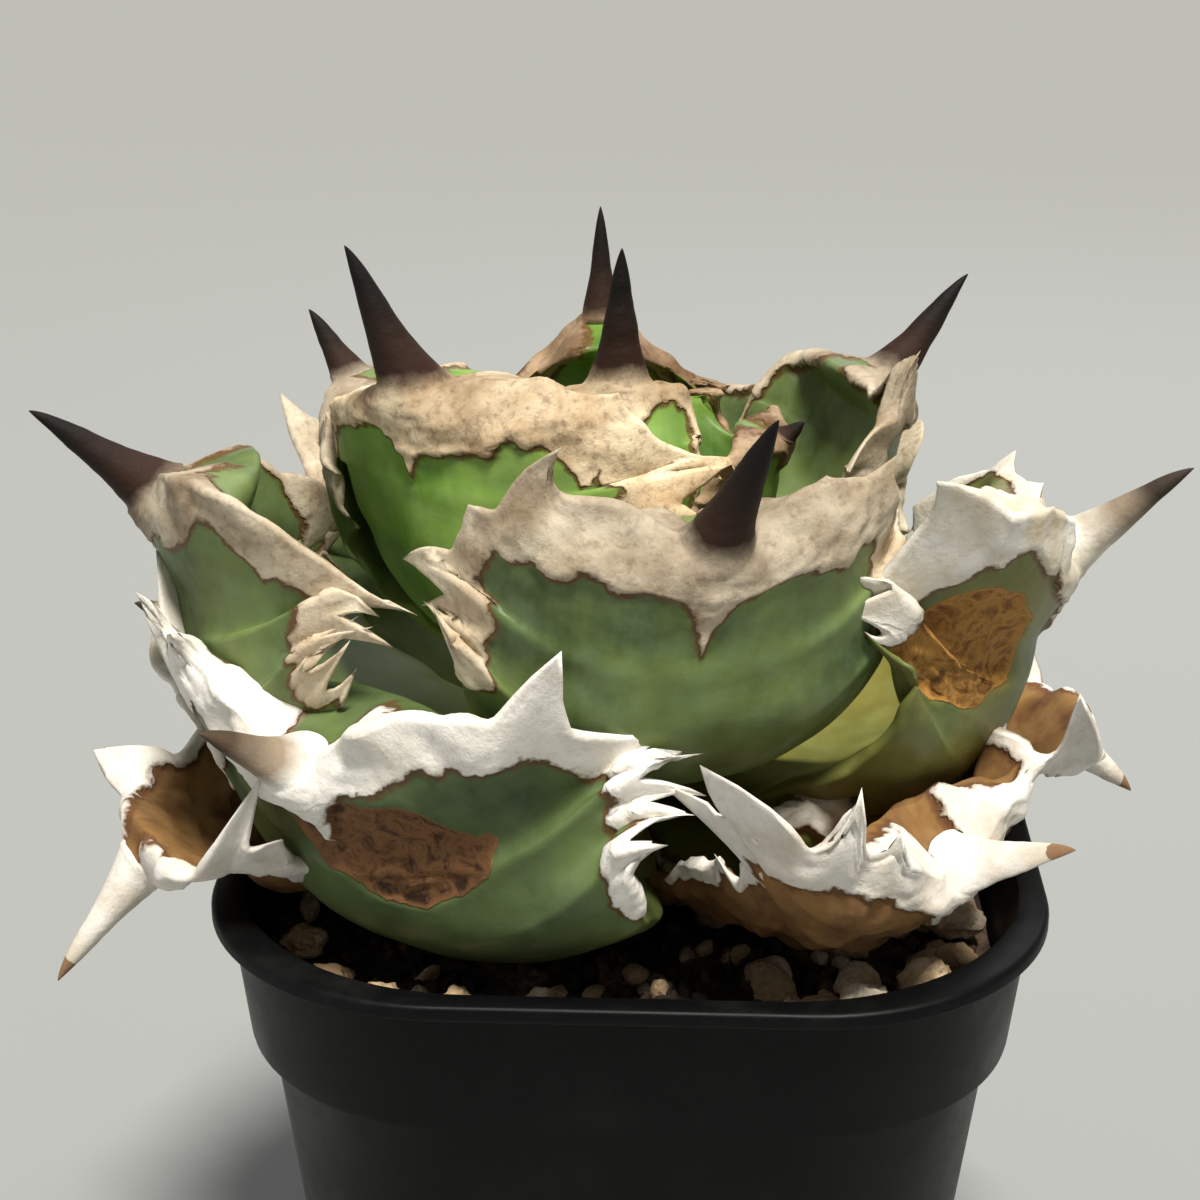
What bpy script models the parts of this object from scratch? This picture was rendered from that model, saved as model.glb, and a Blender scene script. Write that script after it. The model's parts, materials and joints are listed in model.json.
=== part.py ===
"""Potted agave: a rosette of broad horny-edged leaves on a short stem, in a square nursery pot.

Metres, +Z up.  The origin is the middle of the pot's flat underside.  Each leaf, with its
margin, teeth and terminal spine, is one solid.  The leaves are built from the bud outwards,
and every older leaf takes the imprint of the younger ones that it was pressed against.
"""
import math
from typing import NamedTuple

import bmesh
import bpy
import numpy as np
from mathutils import Vector, noise
from mathutils.bvhtree import BVHTree

MM = 0.001
FIT_GAP = 0.32 * MM             # clearance between pieces that touch

# Pot
POT_RIM_WIDTH = 90.0 * MM       # across the flats of the lip
POT_HEIGHT = 80.0 * MM
POT_BASE_WIDTH = 65.0 * MM
POT_WALL = 1.4 * MM
POT_FLOOR = 2.0 * MM
LIP_OVERHANG = 1.6 * MM
LIP_DEPTH = 1.8 * MM
BAND_DEPTH = 15.5 * MM          # the taller collar below the lip
BAND_STEP = 1.8 * MM            # how far the collar stands out from the wall below it
RIM_CORNER_RADIUS = 26.5 * MM
BASE_CORNER_RADIUS = 18.0 * MM
CORNER_STEPS = 7
DRAIN_HOLE_RADIUS = 4.0 * MM
DRAIN_HOLE_SPREAD = 17.0 * MM

# Substrate, stem and stones
HEADSPACE = 8.5 * MM            # rim down to the substrate
STEM_DEPTH = 6.0 * MM           # how far the stem goes into the substrate
STEM_RADIUS = 9.0 * MM
STEM_HEIGHT = 36.0 * MM         # above the substrate
STONE_COUNT = 30
STONE_SIZE = (5.2 * MM, 8.6 * MM)
STONE_MIN_SIZE = 2.6 * MM
STONE_WALL_GAP = 1.0 * MM

# Rosette
PLANT_SCALE = 1.0               # size of the whole rosette
PLANT_OFFSET = (-2.1 * MM, 1.9 * MM)
PLANT_TURN = 2.5                # degrees
CROWN_RISE = 0.0 * MM           # lifts the rosette out of the pot

BLADE_ROWS = 15
SPINE_ROWS = 5
HALF_RING = 6

# Shares of the blade's length, and the leaf's size there
WIDTH_FORM = ((0.0, 0.24), (0.2, 0.48), (0.45, 0.84), (0.68, 1.0), (0.84, 0.97), (0.94, 0.68), (1.0, 0.0))
THICKNESS_FORM = ((0.0, 0.55), (0.25, 0.9), (0.6, 1.0), (0.85, 0.75), (1.0, 0.6))
SHOULDER_FORM = ((0.0, 0.0), (0.4, 0.0), (0.7, 0.6), (0.88, 1.0), (0.96, 0.8), (1.0, 0.3))


class Tooth(NamedTuple):
    """A hooked tooth on a margin."""
    place: float                # share of the blade's length
    height: float               # mm
    reach: float                # half its foot, mm
    lean: float = 0.0           # mm towards the spine
    curl: float = 0.0           # mm towards the bud


class Leaf(NamedTuple):
    """One leaf.  Lengths in mm, measured from the plant's axis and from the pot's rim."""
    name: str
    azimuth: float              # degrees, 0 to the front, 90 to the right
    rib: tuple                  # (out, up, sideways) of the back of the leaf, stem to spine tip
    neck: int                   # which rib point the spine starts at
    half_width: float
    wrap_radius: float          # how tightly the blade curls round the bud
    thickness: float
    spine_radius: float
    shoulder: float = 6.0       # how far the margins stand up past the neck
    left: tuple = ()
    right: tuple = ()
    finish: str = "green"


LEAVES = (
    Leaf("leaf_bud", 8, ((0, 27), (6, 31), (9.5, 39), (8.5, 45), (5, 49.5), (3.6, 56), (3.2, 66)),
         4, 10, 9, 9, 3.4, 2),
    Leaf("leaf_back_inner", 185,
         ((1, 23), (11, 26), (19, 33), (22.5, 44), (22, 51), (21.5, 57.5), (21, 65.5)), 4, 18, 18, 6, 2.6, 1),
    Leaf("leaf_right_inner", 72, ((1, 21), (10, 26), (16, 33), (18, 39), (18.5, 43), (21, 48)),
         4, 13, 14, 5, 2.0, 3, (Tooth(0.8, 4, 4, 2),)),
    Leaf("leaf_left_inner", -40,
         ((1, 18), (13, 21), (23, 27), (28, 36, -1), (28.8, 44, -2.5), (28.7, 48, -3.5),
          (29.6, 58, -6.5), (31, 69.5, -9.5)), 5, 27, 26, 8, 4.2, 9, (), (Tooth(0.86, 5, 4),)),
    Leaf("leaf_right_upper", 108,
         ((2, 16), (15, 18), (24, 24), (29.5, 32), (31.5, 39), (32.5, 43), (36, 50), (41.5, 59.5)),
         5, 20, 20, 7, 3.2, 5, (Tooth(0.9, 6, 4, 2, -1),)),
    Leaf("leaf_left_upper", -110,
         ((2, 15), (15, 18), (25, 24), (31, 31), (33, 39), (33.5, 44), (34.5, 49), (37, 55.5)),
         5, 18, 22, 6, 2.2, 3),
    Leaf("leaf_front_upper", 11,
         ((3, 12), (17, 12.5), (30, 16), (38.5, 23), (41.3, 31.5), (41.8, 37), (43.5, 47, 2), (48, 60, 5)),
         5, 26, 27, 10, 4.2, 14, (Tooth(0.8, 6, 4, -1), Tooth(0.6, 6, 5))),
    Leaf("leaf_back_upper", 150,
         ((3, 10), (17, 8.5), (30, 10), (38, 16), (41, 24), (42, 28), (46, 31), (52, 34)), 5, 21, 28, 8, 3.0),
    Leaf("leaf_left", -80,
         ((4, 7), (19, 4.5), (35, 7), (46, 16), (49.5, 26), (49.5, 33), (54, 41), (62.5, 50.5)),
         5, 26, 27, 9, 4.0, 10, (Tooth(0.8, 8, 5, 2),), (Tooth(0.85, 8, 4, 2), Tooth(0.72, 5, 4))),
    Leaf("leaf_right", 76,
         ((4, 5), (19, 3.5), (32, 5), (42, 11), (46.5, 21), (47.5, 27), (52.5, 35), (61.5, 45.5)),
         5, 24, 27, 8, 4.0, 8, (Tooth(0.8, 6, 5),)),
    Leaf("leaf_back_left", -148,
         ((4, 5), (19, 4), (33, 7), (42, 14), (45.5, 22), (46.5, 26), (51, 31), (57, 36)), 5, 21, 30, 8, 3.0),
    Leaf("leaf_front_lower", -33,
         ((4, 1), (19, -4), (32, -4.5), (41, 1, -1), (44.5, 8.5, -3), (45.3, 13.5, -5), (48.5, 19, -10),
          (53, 25, -15)), 5, 25, 27, 11, 4.0, 11, (Tooth(0.8, 8, 5), Tooth(0.68, 8, 5)),
         (Tooth(0.84, 8, 5, 0, 1), Tooth(0.66, 6, 5, 1))),
    Leaf("leaf_back_lower", 170,
         ((4, 1), (19, -1.5), (33, 1), (43, 7), (47, 14), (48, 18), (52, 23), (59, 28)), 5, 21, 30, 8, 3.0),
    Leaf("leaf_front_right", 44,
         ((4, 0), (17, -1), (28, 1), (34, 6), (36.5, 12), (37, 15), (39, 18), (42, 21)), 5, 14, 24, 8, 2.4, 3),
    Leaf("leaf_back_right", 125,
         ((4, -3), (19, -4.5), (32, -2.5), (42, 1), (46, 6), (47, 9), (51, 11), (57, 13)), 5, 17, 30, 7, 2.8),
    Leaf("leaf_left_lower", -106,
         ((4, -3), (19, -4), (33, -2), (43, 2.5), (48, 8), (50, 11.5), (54, 15), (60, 18.5)),
         5, 18, 30, 6, 2.6, 4),
    Leaf("leaf_dry_front", 45,
         ((4, -5), (19, -4.5), (32, -4), (41, -1.5, -1), (46, 2.5, -3), (48, 5, -4), (50.5, 7, 3), (54, 8.5, 13)),
         5, 23, 20, 3, 3.6, 5, (Tooth(0.85, 7, 5, 2),), (), "dry"),
    Leaf("leaf_dry_left", -66,
         ((4, -5), (20, -5.5), (36, -3), (44, 0.9), (48, 2.5), (52, 3, 1), (58, 0, 2.5), (66, -6.5, 3)),
         5, 16, 18, 2.6, 3.0, 3, (), (), "dry"),
    Leaf("leaf_dry_right", 96,
         ((4, -5), (22, -5), (36, -2.5), (43, 0.9), (48, 3), (51, 3.5), (56, 1.5), (61.5, -1.5)),
         5, 16, 18, 2.6, 2.6, 3, (), (), "dry"),
    Leaf("leaf_dry_back", -165,
         ((4, -5), (22, -5), (36, -2.5), (44, 1), (50, 3.5), (53, 4), (58, 2.5), (64, 1)),
         5, 17, 22, 2.6, 2.6, 3, (), (), "dry"),
)


def clear_scene():
    """Remove every object, so that a second run starts the same way."""
    for old in list(bpy.data.objects):
        bpy.data.objects.remove(old, do_unlink=True)


def make_material(name, colour, roughness, metallic=0.0):
    """A plain Principled material."""
    material = bpy.data.materials.new(name)
    material.use_nodes = True
    shader = material.node_tree.nodes["Principled BSDF"]
    shader.inputs["Base Color"].default_value = (*colour, 1.0)
    shader.inputs["Roughness"].default_value = roughness
    shader.inputs["Metallic"].default_value = metallic
    return material


def add_object(name, vertices, faces, material):
    """A smooth-shaded mesh object whose faces point outwards."""
    mesh = bpy.data.meshes.new(name)
    mesh.from_pydata([tuple(v) for v in vertices], [], [tuple(f) for f in faces])
    shape = bmesh.new()
    shape.from_mesh(mesh)
    bmesh.ops.recalc_face_normals(shape, faces=shape.faces)
    shape.to_mesh(mesh)
    shape.free()
    obj = bpy.data.objects.new(name, mesh)
    bpy.context.scene.collection.objects.link(obj)
    if material is not None:
        mesh.materials.append(material)
    mesh.shade_smooth()
    mesh.set_sharp_from_angle(angle=math.radians(40))
    return obj


def swollen_copy(obj, gap):
    """A copy of a solid, grown by gap along its vertex normals."""
    mesh = obj.data.copy()
    for vertex, normal in zip(mesh.vertices, [v.normal.copy() for v in mesh.vertices]):
        vertex.co += normal * gap
    copy = bpy.data.objects.new(obj.name + "_room", mesh)
    bpy.context.scene.collection.objects.link(copy)
    return copy


def largest_part(mesh):
    """Keep the biggest connected part of a mesh, and close up its slivers."""
    shape = bmesh.new()
    shape.from_mesh(mesh)
    bmesh.ops.triangulate(shape, faces=shape.faces)
    bmesh.ops.remove_doubles(shape, verts=shape.verts, dist=0.004 * MM)
    shape.verts.ensure_lookup_table()
    parts = []
    seen = set()
    for start in shape.verts:
        if start in seen:
            continue
        seen.add(start)
        part = [start]
        for vertex in part:
            for edge in vertex.link_edges:
                other = edge.other_vert(vertex)
                if other not in seen:
                    seen.add(other)
                    part.append(other)
        parts.append(part)
    parts.sort(key=lambda part: -sum(face.calc_area() for v in part for face in v.link_faces))
    for part in parts[1:]:
        bmesh.ops.delete(shape, geom=part, context="VERTS")
    shape.to_mesh(mesh)
    shape.free()


def carve(obj, rooms):
    """Cut the rooms that its neighbours need out of a solid, which stays one piece."""
    group = bpy.data.collections.new(obj.name + "_rooms")
    for room in rooms:
        group.objects.link(room)
    cut = obj.modifiers.new("imprint", "BOOLEAN")
    cut.operation = "DIFFERENCE"
    cut.operand_type = "COLLECTION"
    cut.collection = group
    cut.solver = "EXACT"
    bpy.context.view_layer.update()
    evaluated = obj.evaluated_get(bpy.context.evaluated_depsgraph_get())
    mesh = bpy.data.meshes.new_from_object(evaluated)
    obj.modifiers.remove(cut)
    obj.data = mesh
    largest_part(mesh)
    mesh.shade_smooth()
    mesh.set_sharp_from_angle(angle=math.radians(40))
    bpy.data.collections.remove(group)


def boxes_meet(a, b, margin):
    """True where the world boxes of two objects are within margin of each other."""
    low_a, high_a = corners(a)
    low_b, high_b = corners(b)
    return bool(np.all(low_a - margin < high_b) and np.all(low_b - margin < high_a))


def corners(obj):
    """Lowest and highest corner of an object's mesh."""
    points = np.empty(len(obj.data.vertices) * 3)
    obj.data.vertices.foreach_get("co", points)
    points = points.reshape(-1, 3)
    return points.min(axis=0), points.max(axis=0)


def rounded_square(half, radius, height, steps=CORNER_STEPS):
    """A level ring of points round a square with round corners."""
    ring = []
    inner = half - radius
    for quarter, (sx, sy) in enumerate(((1, 1), (-1, 1), (-1, -1), (1, -1))):
        for step in range(steps + 1):
            angle = math.pi / 2 * (quarter + step / steps)
            ring.append((sx * inner + radius * math.cos(angle), sy * inner + radius * math.sin(angle), height))
    return ring


def loft(rings):
    """Closed skin over a stack of rings, with a flat end at each side."""
    count = len(rings[0])
    vertices = [point for ring in rings for point in ring]
    faces = []
    for row in range(len(rings) - 1):
        for k in range(count):
            a = row * count + k
            b = row * count + (k + 1) % count
            faces.append((a, b, b + count, a + count))
    faces.append(tuple(reversed(range(count))))
    faces.append(tuple(range((len(rings) - 1) * count, len(rings) * count)))
    return vertices, faces


def outer_half(height):
    """Half the pot's outside width, below the collar, at a height."""
    collar_foot = POT_HEIGHT - BAND_DEPTH - LIP_DEPTH / 2
    rise = max(0.0, min(height / collar_foot, 1.0))
    foot_half = POT_BASE_WIDTH / 2
    top_half = POT_RIM_WIDTH / 2 - LIP_OVERHANG - BAND_STEP * 1.9
    return foot_half + (top_half - foot_half) * rise


def corner_radius(height):
    """The wall's corner radius at a height, the same inside and out."""
    return BASE_CORNER_RADIUS + (RIM_CORNER_RADIUS - BASE_CORNER_RADIUS) * height / POT_HEIGHT


def pot_section():
    """(half width, corner radius, height) round the wall: up the outside, down the inside."""
    collar_foot = POT_HEIGHT - BAND_DEPTH - LIP_DEPTH / 2
    collar_half = outer_half(collar_foot) + BAND_STEP
    lip_half = POT_RIM_WIDTH / 2
    neck_half = lip_half - LIP_OVERHANG
    edge = 0.5 * MM
    outside = [
        (POT_BASE_WIDTH / 2 - edge, 0.0),
        (POT_BASE_WIDTH / 2, edge),
        (outer_half(collar_foot), collar_foot - edge),
        (collar_half - edge, collar_foot),
        (collar_half, collar_foot + edge),
        (neck_half, POT_HEIGHT - LIP_DEPTH),
        (lip_half - edge / 2, POT_HEIGHT - LIP_DEPTH),
        (lip_half, POT_HEIGHT - LIP_DEPTH + edge / 2),
        (lip_half, POT_HEIGHT - edge),
        (lip_half - edge, POT_HEIGHT),
    ]
    inside = [
        (neck_half - POT_WALL + edge, POT_HEIGHT),
        (neck_half - POT_WALL, POT_HEIGHT - edge),
        (collar_half - POT_WALL, collar_foot + BAND_STEP),
        (outer_half(collar_foot) - POT_WALL, collar_foot - edge),
        (outer_half(POT_FLOOR) - POT_WALL, POT_FLOOR),
    ]
    return [(half, corner_radius(z), z) for half, z in outside + inside]


def make_pot():
    """Thin-walled square pot with a lip, a collar and four drain holes."""
    rings = [rounded_square(half, radius, height) for half, radius, height in pot_section()]
    vertices, faces = loft(rings)
    material = make_material("black_plastic", (0.012, 0.013, 0.014), 0.42)
    pot = add_object("pot", vertices, faces, material)
    drill = bmesh.new()
    for sx in (1, -1):
        for sy in (1, -1):
            made = bmesh.ops.create_cone(drill, cap_ends=True, segments=16, radius1=DRAIN_HOLE_RADIUS,
                                         radius2=DRAIN_HOLE_RADIUS, depth=POT_FLOOR * 3)
            bmesh.ops.translate(drill, verts=made["verts"],
                                vec=(sx * DRAIN_HOLE_SPREAD, sy * DRAIN_HOLE_SPREAD, 0))
    mesh = bpy.data.meshes.new("drain_drill")
    drill.to_mesh(mesh)
    drill.free()
    cutter = bpy.data.objects.new("drain_drill", mesh)
    bpy.context.scene.collection.objects.link(cutter)
    carve(pot, [cutter])
    bpy.data.objects.remove(cutter)
    return pot


def inside_half(height):
    """Half the clear width inside the pot at a height."""
    section = pot_section()[-4:]
    heights = [z for _, _, z in reversed(section)]
    halves = [half for half, _, _ in reversed(section)]
    return float(np.interp(height, heights, halves))


def substrate_top():
    """Mean height of the substrate's surface."""
    return POT_HEIGHT - HEADSPACE


def make_substrate():
    """The block of gritty substrate, clear of the pot's wall, with an uneven top."""
    rings = []
    low = POT_FLOOR + FIT_GAP
    top = substrate_top()
    bends = [height for _, _, height in pot_section()[-3:-1]]
    for height in sorted([low, low + 30 * MM, top - 0.6 * MM] + [bend for bend in bends if bend < top - MM]):
        half = inside_half(height) - 1.6 * FIT_GAP
        rings.append(rounded_square(half, corner_radius(height), height))
    for share in (0.95, 0.8, 0.6, 0.4, 0.2):
        half = (inside_half(top) - 1.6 * FIT_GAP) * share
        ring = []
        for x, y, z in rounded_square(half, min(corner_radius(top), half) * share, top):
            ring.append((x, y, z + 0.6 * MM * noise.noise(Vector((x, y, z)) / (9 * MM)) - 0.4 * MM))
        rings.append(ring)
    vertices, faces = loft(rings)
    return add_object("substrate", vertices, faces, make_material("substrate", (0.055, 0.035, 0.022), 0.9))


def make_stem():
    """Short conical stem that carries the leaves, rooted in the substrate."""
    foot = substrate_top() - STEM_DEPTH
    crown = substrate_top() + STEM_HEIGHT * PLANT_SCALE
    section = ((0.8, 0.0), (0.95, 0.1), (1.0, 0.25), (0.97, 0.5), (0.72, 0.75), (0.46, 0.9), (0.34, 1.0))
    rings = []
    for share, rise in section:
        ring = []
        for k in range(16):
            angle = math.tau * k / 16
            radius = STEM_RADIUS * PLANT_SCALE * share
            ring.append((PLANT_OFFSET[0] + radius * math.cos(angle), PLANT_OFFSET[1] + radius * math.sin(angle),
                         foot + (crown - foot) * rise))
        rings.append(ring)
    vertices, faces = loft(rings)
    return add_object("stem", vertices, faces, make_material("stem", (0.35, 0.36, 0.2), 0.6))


def smooth_line(points):
    """Dense points on a smooth curve through the given ones, and how far along each lies."""
    p = np.array(points, float)
    ends = np.vstack([2 * p[0] - p[1], p, 2 * p[-1] - p[-2]])
    dense = []
    for i in range(len(p) - 1):
        a, b, c, d = ends[i:i + 4]
        for t in np.linspace(0, 1, 40, endpoint=False):
            dense.append(0.5 * (2 * b + (c - a) * t + (2 * a - 5 * b + 4 * c - d) * t ** 2
                                + (3 * b - a - 3 * c + d) * t ** 3))
    dense.append(p[-1])
    dense = np.array(dense)
    along = np.concatenate([[0], np.cumsum(np.linalg.norm(np.diff(dense, axis=0), axis=1))])
    return dense, along


def form_at(form, q):
    """A smooth value between the knots of a form."""
    xs = np.array([knot[0] for knot in form])
    ys = np.array([knot[1] for knot in form])
    slopes = np.gradient(ys, xs)
    q = min(max(q, xs[0]), xs[-1])
    i = int(np.clip(np.searchsorted(xs, q) - 1, 0, len(xs) - 2))
    step = xs[i + 1] - xs[i]
    t = (q - xs[i]) / step
    return ((2 * t ** 3 - 3 * t ** 2 + 1) * ys[i] + (t ** 3 - 2 * t ** 2 + t) * step * slopes[i]
            + (3 * t ** 2 - 2 * t ** 3) * ys[i + 1] + (t ** 3 - t ** 2) * step * slopes[i + 1])


def rib_frame(leaf):
    """Rows along a leaf: their shares, places, directions, and the blade's length."""
    rib = [(point[0], point[2] if len(point) > 2 else 0.0, point[1]) for point in leaf.rib]
    dense, along = smooth_line(rib)
    blade = along[leaf.neck * 40]
    teeth = [tooth.place for tooth in leaf.left + leaf.right]
    shares = [q for q in np.linspace(0, 1, BLADE_ROWS) if all(abs(q - place) > 0.025 for place in teeth)]
    shares = sorted(shares + sorted(set(teeth)))
    shares += list(1 + np.linspace(0, 1, SPINE_ROWS + 1)[1:])
    shares = np.array(shares)
    arc = np.where(shares <= 1, shares * blade, blade + (shares - 1) * (along[-1] - blade))
    places = np.stack([np.interp(arc, along, dense[:, axis]) for axis in range(3)], axis=1)
    ahead = np.stack([np.interp(arc + 0.5, along, dense[:, axis]) for axis in range(3)], axis=1)
    behind = np.stack([np.interp(arc - 0.5, along, dense[:, axis]) for axis in range(3)], axis=1)
    direction = ahead - behind
    direction[:, 1] = 0
    direction /= np.linalg.norm(direction, axis=1)[:, None]
    return shares, places, direction, blade


def row_size(leaf, q):
    """Half width, thickness and roundness of a leaf's cross-section."""
    radius = leaf.spine_radius
    if q > 1:
        rest = 2 - q
        width = radius * rest ** 0.85 * (1 - 0.25 * math.sin(math.pi * rest)) + 0.15
        return width, 2 * width, 1.0
    width = leaf.half_width * form_at(WIDTH_FORM, q)
    width = (width ** 2.5 + radius ** 2.5) ** 0.4 if q > 0.8 else max(width, radius * 0.8)
    roundness = 0.0 if q < 0.9 else ((q - 0.9) / 0.1) ** 2
    thickness = leaf.thickness * form_at(THICKNESS_FORM, q)
    thickness += (2 * radius - thickness) * roundness
    return width, thickness, roundness


def tooth_push(leaf, q, blade, u):
    """How far teeth move a point: outwards, towards the spine, towards the bud."""
    near_edge = max(0.0, (abs(u) - 0.75) / 0.25) ** 1.6
    push = np.zeros(3)
    for tooth in (leaf.right if u > 0 else leaf.left):
        off = abs(q - tooth.place) * blade / tooth.reach
        if near_edge > 0 and off < 1:
            strength = (1 - off) ** 1.5 * near_edge
            push += np.array([tooth.height * strength, tooth.lean * strength ** 2, tooth.curl * strength ** 2])
    return push


def leaf_points(leaf):
    """Points of a leaf in its own axes (out, sideways, up), row by row, in mm."""
    shares, places, directions, blade = rib_frame(leaf)
    lifts = 1 - np.clip((shares - 1) / 0.12, 0, 1)
    across = np.sin(np.linspace(-math.pi / 2, math.pi / 2, HALF_RING + 1))
    ring = [(u, False) for u in across] + [(u, True) for u in across[::-1][1:-1]]
    side = np.array([0.0, 1.0, 0.0])
    rows = []
    for q, place, forward, lift in zip(shares, places, directions, lifts):
        inward = np.array([-forward[2], 0.0, forward[0]])
        width, thickness, roundness = row_size(leaf, q)
        wrap = max(leaf.wrap_radius, width * 0.8)
        edge_turn = width / wrap
        shoulder = leaf.shoulder * form_at(SHOULDER_FORM, min(q, 1.0)) * lift * min(1.0, width / 8)
        row = []
        for u, upper in ring:
            turn = width * u / wrap
            flat = np.array([wrap * math.sin(turn), wrap * (1 - math.cos(turn))])
            circle = np.array([width * math.sin(math.pi * u / 2), width * (1 - math.cos(math.pi * u / 2))])
            if upper:
                flat[1] += thickness * math.sqrt(max(0.0, 1 - u * u))
                circle[1] = width * (1 + math.cos(math.pi * u / 2))
            offset = flat * (1 - roundness) + circle * roundness
            point = place + side * offset[0] + inward * offset[1] + forward * shoulder * u * u
            if q < 1.02:
                out, lean, curl = tooth_push(leaf, q, blade, u)
                edge_way = side * math.cos(edge_turn) * np.sign(u) + inward * math.sin(edge_turn)
                point = point + edge_way * out + forward * lean + inward * curl
            row.append(point)
        rows.append(row)
    return rows


def make_leaf(leaf, material):
    """The untrimmed solid of one leaf, in its place on the plant."""
    azimuth = math.radians(leaf.azimuth + PLANT_TURN)
    outward = np.array([math.sin(azimuth), -math.cos(azimuth), 0.0])
    sideways = np.array([math.cos(azimuth), math.sin(azimuth), 0.0])
    root = np.array([*PLANT_OFFSET, POT_HEIGHT + CROWN_RISE])
    rings = []
    for row in leaf_points(leaf):
        rings.append([tuple(root + (outward * p[0] + sideways * p[1] + np.array([0, 0, p[2]]))
                            * MM * PLANT_SCALE) for p in row])
    vertices, faces = loft(rings)
    return add_object(leaf.name, vertices, faces, material)


def make_rosette(stem, pot, substrate):
    """Every leaf, youngest first, each carved clear of what was there before it."""
    finishes = {
        "green": make_material("leaf_green", (0.16, 0.25, 0.09), 0.5),
        "dry": make_material("leaf_dry", (0.48, 0.31, 0.16), 0.75),
    }
    rooms = [swollen_copy(piece, FIT_GAP) for piece in (stem, pot, substrate)]
    leaves = []
    for leaf in LEAVES:
        obj = make_leaf(leaf, finishes[leaf.finish])
        room = swollen_copy(obj, FIT_GAP)
        carve(obj, [other for other in rooms if boxes_meet(obj, other, FIT_GAP)])
        rooms.append(room)
        leaves.append(obj)
    for room in rooms:
        bpy.data.objects.remove(room)
    return leaves


def clear_height(x, y, reach, trees, floor):
    """Free height above a spot of the substrate, over a circle of the given reach."""
    free = math.inf
    for dx, dy in ((0, 0), (1, 0), (-1, 0), (0, 1), (0, -1), (0.7, 0.7), (-0.7, 0.7), (0.7, -0.7), (-0.7, -0.7)):
        start = Vector((x + dx * reach, y + dy * reach, floor))
        for tree in trees:
            hit = tree.ray_cast(start, Vector((0, 0, 1)))[0]
            if hit is not None:
                free = min(free, hit.z - floor)
    return free


def make_stone(name, x, y, size, seed, material):
    """An irregular lump of pumice that lies on the substrate."""
    shape = bmesh.new()
    bmesh.ops.create_icosphere(shape, subdivisions=2, radius=0.5)
    drift = Vector((seed * 3.1, seed * 1.7, seed * 0.9))
    squash = Vector((1.0, 0.78 + 0.18 * math.sin(seed * 2.4), 0.72 + 0.2 * math.cos(seed * 1.3)))
    for vertex in shape.verts:
        lump = 1 + 0.22 * noise.noise(vertex.co * 2.1 + drift)
        vertex.co = Vector((vertex.co[i] * squash[i] for i in range(3))) * lump * size * 0.92
    turn = seed * 2.399
    for vertex in shape.verts:
        px, py, pz = vertex.co
        vertex.co = Vector((px * math.cos(turn) - py * math.sin(turn), px * math.sin(turn) + py * math.cos(turn), pz))
    lowest = min(vertex.co.z for vertex in shape.verts)
    bmesh.ops.translate(shape, verts=shape.verts, vec=(x, y, substrate_top() + 0.1 * MM + FIT_GAP - lowest))
    mesh = bpy.data.meshes.new(name)
    shape.to_mesh(mesh)
    shape.free()
    mesh.materials.append(material)
    mesh.shade_smooth()
    stone = bpy.data.objects.new(name, mesh)
    bpy.context.scene.collection.objects.link(stone)
    return stone


def make_stones(leaves):
    """Pumice round the inside of the rim, smaller where a low leaf leaves less height."""
    material = make_material("pumice", (0.58, 0.45, 0.3), 0.85)
    bpy.context.view_layer.update()
    graph = bpy.context.evaluated_depsgraph_get()
    trees = [BVHTree.FromObject(leaf, graph) for leaf in leaves]
    top = substrate_top()
    stones = []
    largest = STONE_SIZE[1]
    half = inside_half(top) - STONE_WALL_GAP - largest / 2
    radius = max(corner_radius(top) - POT_WALL - STONE_WALL_GAP - largest / 2, MM)
    path = rounded_square(half, radius, top, 12)
    path.append(path[0])
    steps = [math.dist(a, b) for a, b in zip(path, path[1:])]
    pitch = sum(steps) / STONE_COUNT
    along = np.concatenate([[0], np.cumsum(steps)])
    for k in range(STONE_COUNT):
        place = (k + 0.5) * pitch
        x = float(np.interp(place, along, [p[0] for p in path]))
        y = float(np.interp(place, along, [p[1] for p in path]))
        mix = 0.5 + 0.5 * math.sin(k * 2.7 + 0.6)
        size = STONE_SIZE[0] + (min(STONE_SIZE[1], pitch * 0.98) - STONE_SIZE[0]) * mix
        free = clear_height(x, y, size / 2, trees, top)
        size = max(min(size, (free - 3 * FIT_GAP) * 1.05), STONE_MIN_SIZE)
        stones.append(make_stone(f"stone_{k + 1:02d}", x, y, size, k + 1, material))
    return stones


def main():
    """Build the pot, what it holds, and the plant."""
    clear_scene()
    pot = make_pot()
    stem = make_stem()
    substrate = make_substrate()
    socket = swollen_copy(stem, FIT_GAP)
    carve(substrate, [socket])
    bpy.data.objects.remove(socket)
    leaves = make_rosette(stem, pot, substrate)
    make_stones(leaves)


main()
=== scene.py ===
"""Looks of a potted agave: a rosette of broad horny-edged leaves in a square nursery pot.

Lengths in the leaf table are in millimetres, because a leaf is measured that way; everything
that reaches Blender is in metres.  Each leaf is measured from the plant's axis and from the
pot's rim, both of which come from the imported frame.
"""
import json
import logging
import math
from dataclasses import dataclass
from enum import Enum
from typing import Callable, Dict, List, Optional, Sequence, Tuple, Union

import bmesh
import bpy
import numpy as np
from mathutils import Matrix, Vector, noise

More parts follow.
